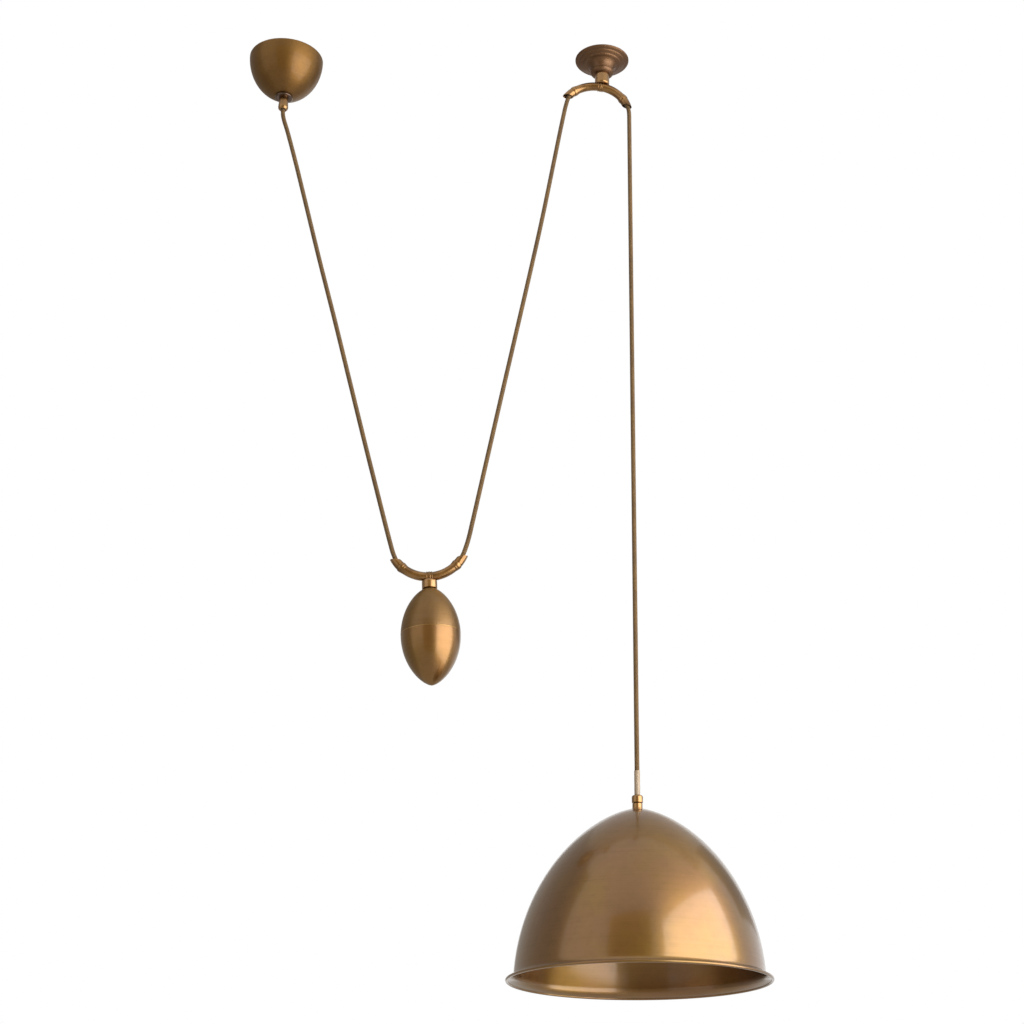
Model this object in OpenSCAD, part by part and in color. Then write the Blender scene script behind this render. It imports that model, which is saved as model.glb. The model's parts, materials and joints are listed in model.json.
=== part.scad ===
// Rise and fall pendant: a dome shade and an egg counterweight share one flex.
// The flex runs from the ceiling canopy, under the curved guide tube of the
// counterweight, over the curved guide tube below the hook cup, to the shade.
// Origin: centre of the hook cup on the ceiling. X right, Y away, Z up. Millimetres.

/* [Ceiling] */
// Distance between the canopy axis and the hook cup axis
canopy_offset = 576; // [560:1:590]
// Spacing of the two screw holes in the canopy strap
strap_hole_spacing = 89; // [70:0.5:95]
// Radius of the ceiling screw holes
ceiling_hole_r = 2.6; // [2:0.1:3]

/* [Canopy] */
// Radius of the canopy at the ceiling
canopy_r = 66; // [64:0.5:75]
// Height of the canopy bowl
canopy_h = 81; // [76:0.5:84]
// Sheet thickness of the canopy
canopy_wall = 1.4; // [1:0.1:2]
// Radius of the flange under the canopy
canopy_flange_r = 16; // [13:0.5:20]
// Thickness of the flange under the canopy
canopy_flange_h = 5; // [3:0.5:6]
// Radius of the cord grip
cord_grip_r = 9; // [8.5:0.1:11]
// Thickness of the strap
strap_t = 2.5; // [2:0.1:3]
// Width of the strap
strap_w = 18; // [16:0.5:24]

/* [Hook cup] */
// Radius of the hook cup at the ceiling
cup_r = 48.5; // [44:0.5:60]
// Sheet thickness of the hook cup
cup_wall = 1.6; // [1:0.1:2]
// Radius of the plate that is screwed to the ceiling
plate_r = 30; // [28:0.5:32]
// Thickness of that plate
plate_t = 3; // [2:0.1:3.4]
// Diameter of the screw circle in the plate
plate_pcd = 42; // [38:0.5:48]
// Radius of the threaded stem of the hook
stem_r = 5; // [4:0.1:6]
// Radius of the ring nut under the cup
ring_nut_r = 21; // [18:0.5:23]
// Radius of the neck sleeves
neck_r = 13; // [12:0.1:14.5]
// Radius of the arch pivot pin
pivot_r = 1.5; // [1.2:0.1:1.8]

/* [Guide tubes] */
// Centreline radius of both curved guide tubes
bend_r = 63; // [60:0.5:68]
// Outer radius of the guide tubes
tube_r = 7.5; // [7.2:0.05:7.7]
// Bore radius of the guide tubes
tube_bore_r = 6; // [5.7:0.05:6.3]
// Half angle of each guide tube from its middle to its mouth
mouth_angle = 60; // [58:1:64]
// Outer radius of the mouth ferrules
ferrule_r = 8; // [7.9:0.05:8.3]
// Outer radius of the raised rings
band_r = 8.6; // [8.4:0.05:8.9]
// Resting tilt of the ceiling arch, clockwise from the front
arch_tilt = 11.2; // [10:0.1:12]
// Resting tilt of the counterweight, counter-clockwise from the front
weight_tilt = 3; // [2:0.1:4]

/* [Counterweight] */
// Largest radius of the egg
egg_r = 48; // [46:0.5:55]
// Length of the egg above its widest place
egg_top_h = 80; // [76:0.5:86]
// Length of the egg below its widest place
egg_bottom_h = 83.5; // [80:0.5:92]
// Wall thickness of the egg shells
egg_wall = 1.5; // [1.2:0.1:2.5]
// Length of the neck collar between guide tube and egg
weight_neck_h = 15.5; // [14.5:0.5:20]
// Height of the cast ballast inside the egg
ballast_h = 104; // [60:0.5:106]
// Radius of the rod through the egg
rod_r = 3; // [2.5:0.1:4]

/* [Shade] */
// Radius of the shade at its lip
shade_r = 200; // [196:1:230]
// Height of the shade from its apex to the lip
shade_h = 261; // [255:1:300]
// Sheet thickness of the shade
shade_wall = 0.9; // [0.7:0.1:1.5]
// Radius of the rolled lip
lip_r = 2.2; // [1.8:0.1:2.6]
// Height of the shade apex below the ceiling
shade_drop = 1387; // [1380:1:1400]
// Radius of the grip cap on the shade
grip_cap_r = 8.7; // [8.5:0.1:10]
// Height of the grip cap
grip_cap_h = 12; // [11:0.5:14]
// Radius of the grip body on the shade
grip_body_r = 7.9; // [7.7:0.1:8.4]
// Height of the grip body
grip_body_h = 9; // [8:0.5:10]
// Length of the clear sleeve on the flex
sleeve_len = 39; // [30:1:50]
// Bore radius of the lampholder
lamp_bore_r = 13.3; // [13.1:0.1:13.6]

/* [Flex] */
// Radius of the braided flex
flex_r = 3.8; // [3.2:0.1:3.9]

/* [Hidden] */

$fn = 96;
eps = 0.01;
// Gap between pieces that touch on one body
seat = 0.02;
// Gap between pieces on different bodies
clear = 0.3;
// Radial clearance of a turning pin
pin_gap = 0.05;

// --- ceiling side, all heights below the ceiling are negative ---
strap_half = canopy_r - 7;
strap_ear_h = 14;
side_screw_z = -9;
side_screw_r = 2;
side_socket_r = 1.1;
grip_thread_r = 5;
grip_nut_flat = 15;
flange_z = -canopy_h + 2;
flange_bottom = flange_z - canopy_flange_h;
grip_h = 24;
grip_bottom = flange_bottom - grip_h;
grip_bore_r = flex_r + 0.2;
grip_screw_r = 1.5;
grip_screw_drop = 8;
block_w = 24;
block_d = 18;
block_h = 14;
block_x = 20;
terminal_count = 3;
terminal_pitch = 6;
terminal_r = 1.6;
earth_r = 2;

ring_nut_h = 7.5;
hook_nut_flat = 15;
ring_nut_z = -25.5;
neck_top = ring_nut_z - ring_nut_h;
neck_bore_r = neck_r - 3.9;
clevis_r = neck_bore_r - 0.1;
pivot_z = -45;
// Distance from the pivot pin down to the crown of the arch centreline
pivot_to_crown = 14;
crown_z = pivot_z - pivot_to_crown;
clevis_bottom = crown_z + band_r + 2.2;
lug_t = 5;
lug_w = 7.4;
slot_w = lug_t + 2 * clear;
lug_head_r = 4;
slot_top = pivot_z + lug_head_r + 0.8;
neck_bottom = crown_z + 4;
saddle_r = band_r + 0.6;

// --- guide tubes, angles measured from the middle of the bend ---
tube_half = mouth_angle - 7;
ferrule_start = mouth_angle - 18;
ring_half = 2.6;
band_half = 4.6;
flex_half = mouth_angle - 10;
// Angle kept free at each end of the flex in a tube
flex_end_gap = 0.7;
// How far the flex lies off the tube centreline, against the inner wall
flex_off = 0.7;
mouth_bore_r = tube_bore_r + 0.8;
mouth_cut = 4;
arch_pivot_r = bend_r + pivot_to_crown;

// --- counterweight, local heights from the crown of the tube centreline ---
weight_pos = [-284, 0, -1005];
weight_neck_top = -5.7;
weight_neck_bottom = weight_neck_top - weight_neck_h;
boss_w = 9;
// Room for the corners of the square boss in the neck
boss_room_r = boss_w / sqrt(2) + 0.15;
boss_h = 5;
seam_depth = 77.6;
seam_gap = 0.8;
egg_top_cut = 1.3;
egg_steps = 16;
nut_h = 6.5;
egg_nut_flat = 13;
washer_t = 2;
egg_washer_r = 11;
ballast_top_depth = 28;
ballast_gap = 0.35;
egg_mid = weight_neck_bottom - egg_top_h;
seam_z = weight_neck_bottom - seam_depth;
ballast_top = weight_neck_bottom - ballast_top_depth;
ballast_bottom = ballast_top - ballast_h;

// --- shade ---
shade_x = 48.5;
shade_top = -shade_drop;
foot_depth = shade_h - 11;
foot_r = shade_r - 12;
shade_steps = 30;
nipple_r = 5;
nipple_bore_r = flex_r + 0.3;
grip_body_top = shade_top + grip_body_h;
grip_groove = 0.9;
spigot_r = 6.2;
spigot_h = 6;
// Distance of the clamp screw below the top of the grip cap
clamp_drop = 3.6;
clamp_r = 1;
grip_cap_bottom = grip_body_top + grip_groove;
grip_cap_top = grip_cap_bottom + grip_cap_h;
sleeve_r = flex_r + 0.7;
locknut_h = 4;
shade_nut_flat = 16;
shade_washer_r = nipple_r + 3.5;
locknut_z = shade_top - shade_wall - 0.5;
nipple_bottom = locknut_z - locknut_h - 6;
holder_top = locknut_z - locknut_h - 0.5;
holder_cap_h = 20;
holder_r = 20;
holder_shell_h = 42;
holder_wall = 1.5;
shell_top = holder_top - holder_cap_h;
insulator_h = 36;
thread_h = 30;
thread_wall = 0.5;
contact_r = 4;
contact_t = 1.2;

// Route of the flex below the canopy, hand chosen: X from the canopy axis, and Z
canopy_fall = [[0, -108], [0.5, -117], [3, -129], [10, -151], [28, -214], [50, -296],
    [82.5, -418], [115, -536], [145.5, -650], [175.5, -762], [205, -870], [219.7, -923.5],
    [227.2, -950], [230.8, -962], [234.3, -971], [237.8, -978], [243, -984.3]];
// Where that flex enters the left mouth of the counterweight's tube
weight_mouth_x = -333;
canopy_spread = (canopy_offset + weight_mouth_x) / canopy_fall[len(canopy_fall) - 1][0];
canopy_route = [for (p = canopy_fall) [p[0] * canopy_spread - canopy_offset, p[1]]];
// Routes of the other two free stretches, X and Z
return_route = [[-54.1, -72], [-59.4, -78.4], [-62.2, -84.8], [-64.4, -93], [-66.9, -104],
    [-70, -121], [-75.5, -152], [-86, -214], [-107, -337], [-129.5, -457.5], [-152, -574],
    [-174, -688], [-195, -798], [-216, -908], [-221.5, -936], [-225, -950], [-228.7, -962],
    [-232.6, -971.4], [-237.5, -979.6]];
drop_route = [[39.7, -90.6], [44.2, -97.6], [46.9, -104.8], [48.1, -112], [48.5, -120],
    [48.5, -130],
    [48.5, -400], [48.5, -700], [48.5, -1000], [48.5, -1310], [48.5, -1326]];
// Flex inside the canopy: X from the canopy axis, and Z
tail_route = [[0, -107.5], [0, -66], [0.6, -57], [2.5, -50], [6, -38], [11, -28], [16.5, -20],
    [21.6, -14.6]];
cord_sides = 10;

brass = [0.56, 0.41, 0.20];
bright_brass = [0.66, 0.48, 0.24];
bronze = [0.35, 0.24, 0.15];
steel = [0.62, 0.62, 0.60];
iron = [0.25, 0.25, 0.26];
cloth = [0.42, 0.32, 0.16];
porcelain = [0.93, 0.92, 0.88];

// ---------- helpers ----------

// A ring or disc between two heights
module ring(r, bore, z0, z1) {
    translate([0, 0, min(z0, z1)])
        difference() {
            cylinder(r = r, h = abs(z1 - z0));
            translate([0, 0, -1])
                cylinder(r = bore, h = abs(z1 - z0) + 2);
        }
}

// A hexagon nut between two heights
module hex_nut(flat, bore, z0, z1) {
    translate([0, 0, min(z0, z1)])
        difference() {
            cylinder(r = flat / 2 / cos(30), h = abs(z1 - z0), $fn = 6);
            translate([0, 0, -1])
                cylinder(r = bore, h = abs(z1 - z0) + 2);
        }
}

// A piece of pipe bent in the XZ plane about the origin, angles from +X towards +Z
module bent_pipe(r, bore, a0, a1, path = bend_r) {
    rotate([90, 0, 0])
        rotate([0, 0, a0])
            rotate_extrude(angle = a1 - a0)
                translate([path, 0])
                    difference() {
                        circle(r = r, $fn = 48);
                        if (bore > 0)
                            circle(r = bore, $fn = 48);
                    }
}

// The frame of the ceiling arch: origin at the centre of its bend
module at_arch() {
    translate([0, 0, pivot_z])
        rotate([0, arch_tilt, 0])
            translate([0, 0, -arch_pivot_r])
                children();
}

// The frame of the counterweight: origin at the crown of its tube
module at_weight() {
    translate(weight_pos)
        rotate([0, -weight_tilt, 0])
            children();
}

// Turns an arch piece into one for the U-shaped tube below it
module as_smile() {
    translate([0, 0, bend_r])
        mirror([0, 0, 1])
            children();
}

module at_canopy() {
    translate([-canopy_offset, 0, 0])
        children();
}

module at_shade() {
    translate([shade_x, 0, 0])
        children();
}

function unit(v) = v / norm(v);
// Direction of a route at a point: along its neighbours
function heading(p, i) = unit(p[min(i + 1, len(p) - 1)] - p[max(i - 1, 0)]);

// A round tube swept along a route in the XZ plane
module swept_tube(route, r, sides) {
    n = len(route);
    rings = [for (i = [0 : n - 1])
        let (h = heading(route, i))
        for (k = [0 : sides - 1])
            let (a = 360 * k / sides)
            [route[i][0] - h[1] * r * cos(a), r * sin(a), route[i][1] + h[0] * r * cos(a)]];
    walls = [for (i = [0 : n - 2], k = [0 : sides - 1])
        let (a = i * sides + k)
        let (b = i * sides + (k + 1) % sides)
        each [[a, b, b + sides], [a, b + sides, a + sides]]];
    start_cap = [for (k = [0 : sides - 1]) sides - 1 - k];
    end_cap = [for (k = [0 : sides - 1]) (n - 1) * sides + k];
    polyhedron(points = rings, faces = concat([start_cap], walls, [end_cap]));
}

// ---------- canopy ----------

function bowl(r, h, z0, steps) = [for (i = [0 : steps])
    let (z = z0 + (h - z0) * i / steps)
    [r * sqrt(max(0, 1 - pow(z / h, 2))), -z]];

module canopy_strap() {
    color(steel) at_canopy()
        difference() {
            union() {
                translate([-strap_half, -strap_w / 2, -strap_t])
                    cube([2 * strap_half, strap_w, strap_t]);
                for (s = [-1, 1])
                    translate([s * (strap_half - strap_t / 2) - strap_t / 2, -strap_w / 2,
                        -strap_ear_h])
                        cube([strap_t, strap_w, strap_ear_h - strap_t + eps]);
            }
            for (s = [-1, 1])
                translate([s * strap_hole_spacing / 2, 0, -strap_t - 1])
                    cylinder(r = ceiling_hole_r, h = strap_t + 2);
            translate([0, 0, side_screw_z])
                rotate([0, 90, 0])
                    cylinder(r = side_screw_r + seat, h = 2 * canopy_r, center = true);
            translate([-block_x, 0, -strap_t - 1])
                cylinder(r = earth_r + seat, h = strap_t + 2);
        }
}

// How far the grub screws reach: just inside the outer face of the canopy
side_screw_end = canopy_r * sqrt(1 - pow(side_screw_z / canopy_h, 2)) - 0.3;

module canopy_side_screws() {
    color(bright_brass) at_canopy()
        for (s = [0, 180])
            rotate([0, 0, s])
                translate([0, 0, side_screw_z])
                    rotate([0, 90, 0])
                        difference() {
                            translate([0, 0, strap_half - 5])
                                cylinder(r = side_screw_r, h = side_screw_end - strap_half + 5);
                            translate([0, 0, side_screw_end - 2])
                                cylinder(r = side_socket_r, h = 3, $fn = 6);
                        }
}

module terminal_block() {
    color([0.88, 0.87, 0.82]) at_canopy()
        difference() {
            translate([block_x, -block_d / 2, -strap_t - block_h])
                cube([block_w, block_d, block_h - seat]);
            for (i = [0 : terminal_count - 1])
                translate([block_x + 6 + i * terminal_pitch, 0, -strap_t - block_h - 1])
                    cylinder(r = terminal_r + seat, h = 6);
            translate([block_x - 1, 0, -14])
                rotate([0, 90, 0])
                    cylinder(r = flex_r + 1.5, h = 5);
        }
}

module terminal_screws() {
    color(bright_brass) at_canopy()
        for (i = [0 : terminal_count - 1])
            translate([block_x + 6 + i * terminal_pitch, 0, -strap_t - block_h + 1])
                cylinder(r = terminal_r, h = 4 - seat);
}

module earth_screw() {
    color([0.30, 0.50, 0.25]) at_canopy()
        translate([-block_x, 0, 0]) {
            translate([0, 0, -strap_t - 6])
                cylinder(r = earth_r, h = strap_t + 5.5);
            translate([0, 0, -strap_t - 2.4])
                cylinder(r = earth_r * 2, h = 2.4 - seat);
        }
}

module canopy() {
    outer = bowl(canopy_r, canopy_h, 0, 18);
    inner = bowl(canopy_r - canopy_wall, canopy_h - canopy_wall, 0, 18);
    color(brass) at_canopy()
        difference() {
            rotate_extrude()
                polygon(concat(outer, [for (i = [18 : -1 : 0]) inner[i]]));
            translate([0, 0, -canopy_h - 5])
                cylinder(r = grip_thread_r + seat, h = 20);
            translate([0, 0, side_screw_z])
                rotate([0, 90, 0])
                    cylinder(r = side_screw_r + 0.2, h = 3 * canopy_r, center = true);
            ring_seat();
        }
}

// Flat seat pressed into the bottom of the canopy for the flange
module ring_seat() {
    translate([0, 0, flange_z - 20 + seat])
        cylinder(r = canopy_flange_r + 1, h = 20);
}

module canopy_flange() {
    color(bronze) at_canopy()
        translate([0, 0, flange_bottom])
            rotate_extrude()
                polygon([[grip_thread_r + seat, 0], [canopy_flange_r - 1.5, 0],
                    [canopy_flange_r, 1.5], [canopy_flange_r, canopy_flange_h - 1],
                    [canopy_flange_r - 1, canopy_flange_h],
                    [grip_thread_r + seat, canopy_flange_h]]);
}

module cord_grip() {
    color(bright_brass) at_canopy()
        difference() {
            union() {
                translate([0, 0, grip_bottom])
                    rotate_extrude()
                        polygon([[0, 0], [cord_grip_r - 2.4, 0], [cord_grip_r - 0.4, 2.4],
                            [cord_grip_r, 5], [cord_grip_r - 0.4, 12],
                            [cord_grip_r - 0.9, grip_h - seat], [0, grip_h - seat]]);
                translate([0, 0, flange_bottom - 1])
                    cylinder(r = grip_thread_r, h = canopy_flange_h + 12);
            }
            translate([0, 0, grip_bottom - 1])
                cylinder(r = grip_bore_r, h = 60);
            translate([0, 0, flange_bottom - grip_screw_drop])
                rotate([-90, 0, 0])
                    cylinder(r = grip_screw_r + seat, h = 20);
        }
}

module cord_grip_locknut() {
    color(steel) at_canopy()
        hex_nut(grip_nut_flat, grip_thread_r + seat, flange_z + canopy_wall + 0.5,
            flange_z + canopy_wall + 4.5);
}

module cord_grip_screw() {
    color(steel) at_canopy()
        translate([0, grip_bore_r + 0.1, flange_bottom - grip_screw_drop])
            rotate([-90, 0, 0])
                cylinder(r = grip_screw_r, h = cord_grip_r - grip_bore_r - 0.9);
}

module canopy_tail() {
    color(cloth) at_canopy()
        swept_tube(tail_route, flex_r, cord_sides);
}

// ---------- hook cup ----------

module hook_plate() {
    color(steel)
        difference() {
            translate([0, 0, -plate_t])
                cylinder(r = plate_r, h = plate_t);
            for (i = [0 : 2])
                rotate([0, 0, 30 + i * 120])
                    translate([plate_pcd / 2, 0, -plate_t - 1])
                        cylinder(r = ceiling_hole_r, h = plate_t + 2);
            translate([0, 0, -plate_t - 1])
                cylinder(r = stem_r + seat, h = plate_t + 2);
        }
}

module hook_stem() {
    color(bright_brass)
        difference() {
            union() {
                translate([0, 0, neck_top - 2])
                    cylinder(r = stem_r, h = -neck_top + 1.5);
                translate([0, 0, clevis_bottom])
                    cylinder(r = clevis_r, h = neck_top - clevis_bottom - seat);
            }
            translate([-20, -slot_w / 2, clevis_bottom - 1])
                cube([40, slot_w, slot_top - clevis_bottom + 1]);
            translate([0, 0, pivot_z])
                rotate([90, 0, 0])
                    cylinder(r = pivot_r + seat, h = 30, center = true);
        }
}

module hook_locknut() {
    color(steel)
        hex_nut(hook_nut_flat, stem_r + seat, -plate_t - seat, -plate_t - 5);
}

// Trumpet-shaped cup with two stepped rings, outline as radius and height
module hook_cup() {
    sweep_pts = [for (a = [0 : 10 : 90])
        [31 - 11.5 * sin(a), -11 - 14 * (1 - cos(a))]];
    outer = concat([[cup_r - 0.8, 0], [cup_r, -0.8], [cup_r, -2.2], [cup_r - 1.2, -3.4],
        [cup_r - 7, -5], [cup_r - 7.6, -6.2], [cup_r - 14, -8.4], [cup_r - 14.8, -9.8]],
        sweep_pts);
    inner = [for (p = outer) [max(stem_r + 1, p[0] - cup_wall), min(0, p[1] + cup_wall)]];
    color(bronze)
        rotate_extrude()
            polygon(concat(outer, [[stem_r + seat, -25], [stem_r + seat, -25 + cup_wall]],
                [for (i = [len(inner) - 1 : -1 : 2]) inner[i]], [[cup_r - cup_wall, 0]]));
}

module hook_ring_nut() {
    color(bronze)
        translate([0, 0, neck_top])
            rotate_extrude()
                polygon([[stem_r + seat, 0], [ring_nut_r - 6, 0], [ring_nut_r - 3.4, 1],
                    [ring_nut_r - 1.3, 2.7], [ring_nut_r - 0.2, 4.6], [ring_nut_r, 5.8],
                    [ring_nut_r - 0.5, 6.8], [ring_nut_r - 2, ring_nut_h],
                    [stem_r + seat, ring_nut_h]]);
}

module hook_neck() {
    shoulder = 3;
    color(bright_brass)
        difference() {
            rotate_extrude()
                polygon(concat([[neck_bore_r, neck_top - seat], [neck_r - 0.6, neck_top - seat],
                    [neck_r, neck_top - 0.6]],
                    [for (a = [0 : 15 : 75]) [neck_r - shoulder * (1 - cos(a)),
                        neck_bottom + shoulder * (1 - sin(a))]],
                    [[neck_bore_r, neck_bottom]]));
            for (t = [-1.6, 0, 1.6])
                translate([0, 0, pivot_z])
                    rotate([0, arch_tilt + t, 0])
                        translate([0, 0, -pivot_to_crown])
                            rotate([0, 90, 0])
                                cylinder(r = saddle_r, h = 60, center = true);
        }
}

module pivot_pin() {
    color(steel)
        translate([0, 0, pivot_z])
            rotate([90, 0, 0])
                cylinder(r = pivot_r, h = 2 * clevis_r - 0.8, center = true);
}

// ---------- guide tubes ----------

// Raised centre ring with two rims
module centre_band() {
    difference() {
        union() {
            bent_pipe(band_r - 0.5, 0, 90 - band_half, 90 + band_half);
            bent_pipe(band_r, 0, 90 - band_half, 90 - band_half + 1.6);
            bent_pipe(band_r, 0, 90 + band_half - 1.6, 90 + band_half);
            children();
        }
        bent_pipe(tube_r + seat, 0, 80, 100);
    }
}

// Mouth ferrule on the side of +X: a raised ring and a slanted mouth
module ferrule() {
    inner_end = 90 - ferrule_start;
    difference() {
        union() {
            bent_pipe(ferrule_r, 0, 0, inner_end);
            bent_pipe(band_r, 0, inner_end - 2 * ring_half, inner_end);
        }
        bent_pipe(tube_r + seat, 0, 90 - tube_half - 0.02, inner_end + 1);
        bent_pipe(mouth_bore_r, 0, -1, 90 - tube_half);
        translate([bend_r * sin(mouth_angle), 0, bend_r * cos(mouth_angle)])
            rotate([0, mouth_cut, 0])
                translate([-60, -30, -80])
                    cube([120, 60, 80]);
    }
}

module guide_tube() {
    bent_pipe(tube_r, tube_bore_r, 90 - tube_half, 90 + tube_half);
}

module guide_flex() {
    half = flex_half - flex_end_gap;
    bent_pipe(flex_r, 0, 90 - half, 90 + half, path = bend_r - flex_off);
}

module arch_tube() {
    color(bright_brass) at_arch() guide_tube();
}

module arch_band() {
    color(bright_brass) at_arch()
        difference() {
            centre_band() {
                translate([-lug_w / 2, -lug_t / 2, bend_r])
                    cube([lug_w, lug_t, pivot_to_crown]);
                translate([0, 0, arch_pivot_r])
                    rotate([90, 0, 0])
                        cylinder(r = lug_head_r, h = lug_t, center = true);
            }
            translate([0, 0, arch_pivot_r])
                rotate([90, 0, 0])
                    cylinder(r = pivot_r + pin_gap, h = 20, center = true);
        }
}

module arch_ferrule_left() {
    color(bright_brass) at_arch() mirror([1, 0, 0]) ferrule();
}

module arch_ferrule_right() {
    color(bright_brass) at_arch() ferrule();
}

module arch_flex() {
    color(cloth) at_arch() guide_flex();
}

module weight_tube() {
    color(bright_brass) at_weight() as_smile() guide_tube();
}

module weight_band() {
    color(bright_brass) at_weight()
        difference() {
            as_smile() centre_band()
                translate([-boss_w / 2, -boss_w / 2, bend_r])
                    cube([boss_w, boss_w, tube_r + boss_h]);
            translate([0, 0, -tube_r - boss_h - 2])
                cylinder(r = rod_r + seat, h = boss_h + 0.5);
        }
}

module weight_ferrule_left() {
    color(bright_brass) at_weight() as_smile() mirror([1, 0, 0]) ferrule();
}

module weight_ferrule_right() {
    color(bright_brass) at_weight() as_smile() ferrule();
}

module weight_flex() {
    color(cloth) at_weight() as_smile() guide_flex();
}

// ---------- counterweight ----------

module weight_neck() {
    shoulder = 4;
    color(bright_brass) at_weight()
        difference() {
            rotate_extrude()
                polygon(concat([[boss_room_r, weight_neck_top], [neck_r - 0.5 - shoulder,
                    weight_neck_top]],
                    [for (a = [15 : 15 : 90]) [neck_r - 0.5 - shoulder * (1 - sin(a)),
                        weight_neck_top - shoulder * (1 - cos(a))]],
                    [[neck_r - 0.5, weight_neck_bottom + 0.6],
                        [neck_r - 1.1, weight_neck_bottom], [rod_r + 0.1, weight_neck_bottom],
                        [rod_r + 0.1, weight_neck_bottom + 2],
                        [boss_room_r, weight_neck_bottom + 2]]));
            rotate([0, 90, 0])
                cylinder(r = band_r + seat, h = 60, center = true);
        }
}

// Radius of the egg at a height above (+) or below (-) its widest place
function egg_at(z, r, up, down) = z > 0
    ? r * pow(max(0, 1 - pow(z / (up + 1.5), 2)), 0.63)
    : r * pow(max(0, 1 - pow(z / down, 2)), 0.67);

// Outline of the egg between two heights, measured from its widest place
function egg_line(z0, z1, inset, steps) = [for (i = [0 : steps])
    let (z = z0 + (z1 - z0) * i / steps)
    [egg_at(z, egg_r - inset, egg_top_h - inset, egg_bottom_h - inset), z]];

egg_seam_z = seam_z - egg_mid;
egg_crown_z = egg_top_h - egg_top_cut;

module egg_upper() {
    outer = egg_line(egg_crown_z, egg_seam_z + seam_gap / 2, 0, egg_steps);
    inner = egg_line(egg_seam_z + seam_gap / 2, egg_crown_z - egg_wall, egg_wall, egg_steps);
    color(brass) at_weight()
        translate([0, 0, egg_mid + egg_top_cut])
            rotate_extrude()
                polygon(concat([[rod_r + seat, egg_crown_z]], outer, inner,
                    [[rod_r + seat, egg_crown_z - egg_wall]]));
}

module egg_lower() {
    outer = egg_line(egg_seam_z - seam_gap / 2, -egg_bottom_h, 0, 2 * egg_steps);
    inner = egg_line(-egg_bottom_h + egg_wall, egg_seam_z - seam_gap / 2, egg_wall,
        2 * egg_steps);
    color(brass) at_weight()
        translate([0, 0, egg_mid + egg_top_cut])
            rotate_extrude()
                polygon(concat(outer, inner));
}

module egg_seam_ring() {
    seam_r = egg_at(egg_seam_z, egg_r, egg_top_h, egg_bottom_h);
    inside_r = egg_at(egg_seam_z + 5, egg_r - egg_wall, egg_top_h - egg_wall, egg_bottom_h)
        - seat;
    color(bright_brass) at_weight()
        translate([0, 0, egg_mid + egg_top_cut + egg_seam_z]) {
            ring(seam_r + 0.2, inside_r - 1.2, -seam_gap / 2 + seat, seam_gap / 2 - seat);
            ring(inside_r, inside_r - 1.2, -4, 4);
        }
}

rod_bottom = ballast_bottom - washer_t - nut_h - 2;

module egg_rod() {
    color(steel) at_weight()
        translate([0, 0, rod_bottom])
            cylinder(r = rod_r, h = -tube_r - 2.5 - rod_bottom);
}

// Cast slug that fills the egg and hangs on the rod
module egg_ballast() {
    inset = egg_wall + ballast_gap;
    low = ballast_bottom - egg_mid - egg_top_cut;
    high = ballast_top - egg_mid - egg_top_cut;
    line = [for (p = egg_line(low, high, inset, 14))
        [abs(p[1] - egg_seam_z) < 9 ? min(p[0], egg_r - 4.4) : p[0], p[1]]];
    color(iron) at_weight()
        translate([0, 0, egg_mid + egg_top_cut])
            rotate_extrude()
                polygon(concat([[rod_r + 0.1, low]], line, [[rod_r + 0.1, high]]));
}

module egg_washer() {
    color(steel) at_weight()
        ring(egg_washer_r, rod_r + 0.1, ballast_bottom - seat, ballast_bottom - washer_t);
}

module egg_nut() {
    color(steel) at_weight()
        hex_nut(egg_nut_flat, rod_r + seat, ballast_bottom - washer_t - seat,
            ballast_bottom - washer_t - nut_h);
}

// ---------- free flex ----------

module canopy_flex() {
    color(cloth)
        swept_tube(canopy_route, flex_r, cord_sides);
}

module return_flex() {
    color(cloth)
        swept_tube(return_route, flex_r, cord_sides);
}

module drop_flex() {
    color(cloth)
        swept_tube(drop_route, flex_r, cord_sides);
}

// ---------- shade ----------

// The dome outline is one cubic curve from the apex to the foot
function dome_point(t, inset) =
    let (a = [nipple_r + 4, 0])
    let (b = [foot_r * 0.495, -foot_depth * 0.084])
    let (c = [foot_r * 0.957, -foot_depth * 0.472])
    let (d = [foot_r, -foot_depth])
    let (u = 1 - t)
    let (p = u * u * u * a + 3 * u * u * t * b + 3 * u * t * t * c + t * t * t * d)
    let (v = 3 * u * u * (b - a) + 6 * u * t * (c - b) + 3 * t * t * (d - c))
    let (n = [v[1], -v[0]] / norm(v))
    p + inset * n;

module shade() {
    outer = [for (i = [0 : shade_steps]) dome_point(i / shade_steps, 0)];
    inner = [for (i = [shade_steps : -1 : 0]) dome_point(i / shade_steps, shade_wall)];
    lip = [[foot_r + 2.5, -foot_depth - 4.4], [foot_r + 6, -foot_depth - 7.6],
        [shade_r - lip_r, -shade_h + lip_r + 0.55]];
    lip_in = [[shade_r - lip_r, -shade_h + lip_r - 0.55], [foot_r + 5.4, -foot_depth - 8.6],
        [foot_r + 1.5, -foot_depth - 5]];
    color(brass) at_shade()
        translate([0, 0, shade_top]) {
            rotate_extrude()
                polygon(concat([[nipple_r + seat, 0]], outer, lip, lip_in, inner,
                    [[nipple_r + seat, -shade_wall]]));
            rotate_extrude()
                translate([shade_r - lip_r, -shade_h + lip_r])
                    circle(r = lip_r, $fn = 24);
        }
}

module shade_nipple() {
    color(bright_brass) at_shade()
        ring(nipple_r, nipple_bore_r, nipple_bottom, grip_body_top - 2);
}

module shade_locknut() {
    color(steel) at_shade() {
        hex_nut(shade_nut_flat, nipple_r + seat, locknut_z, locknut_z - locknut_h);
        ring(shade_washer_r, nipple_r + seat, shade_top - shade_wall - seat, locknut_z + eps);
    }
}

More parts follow.
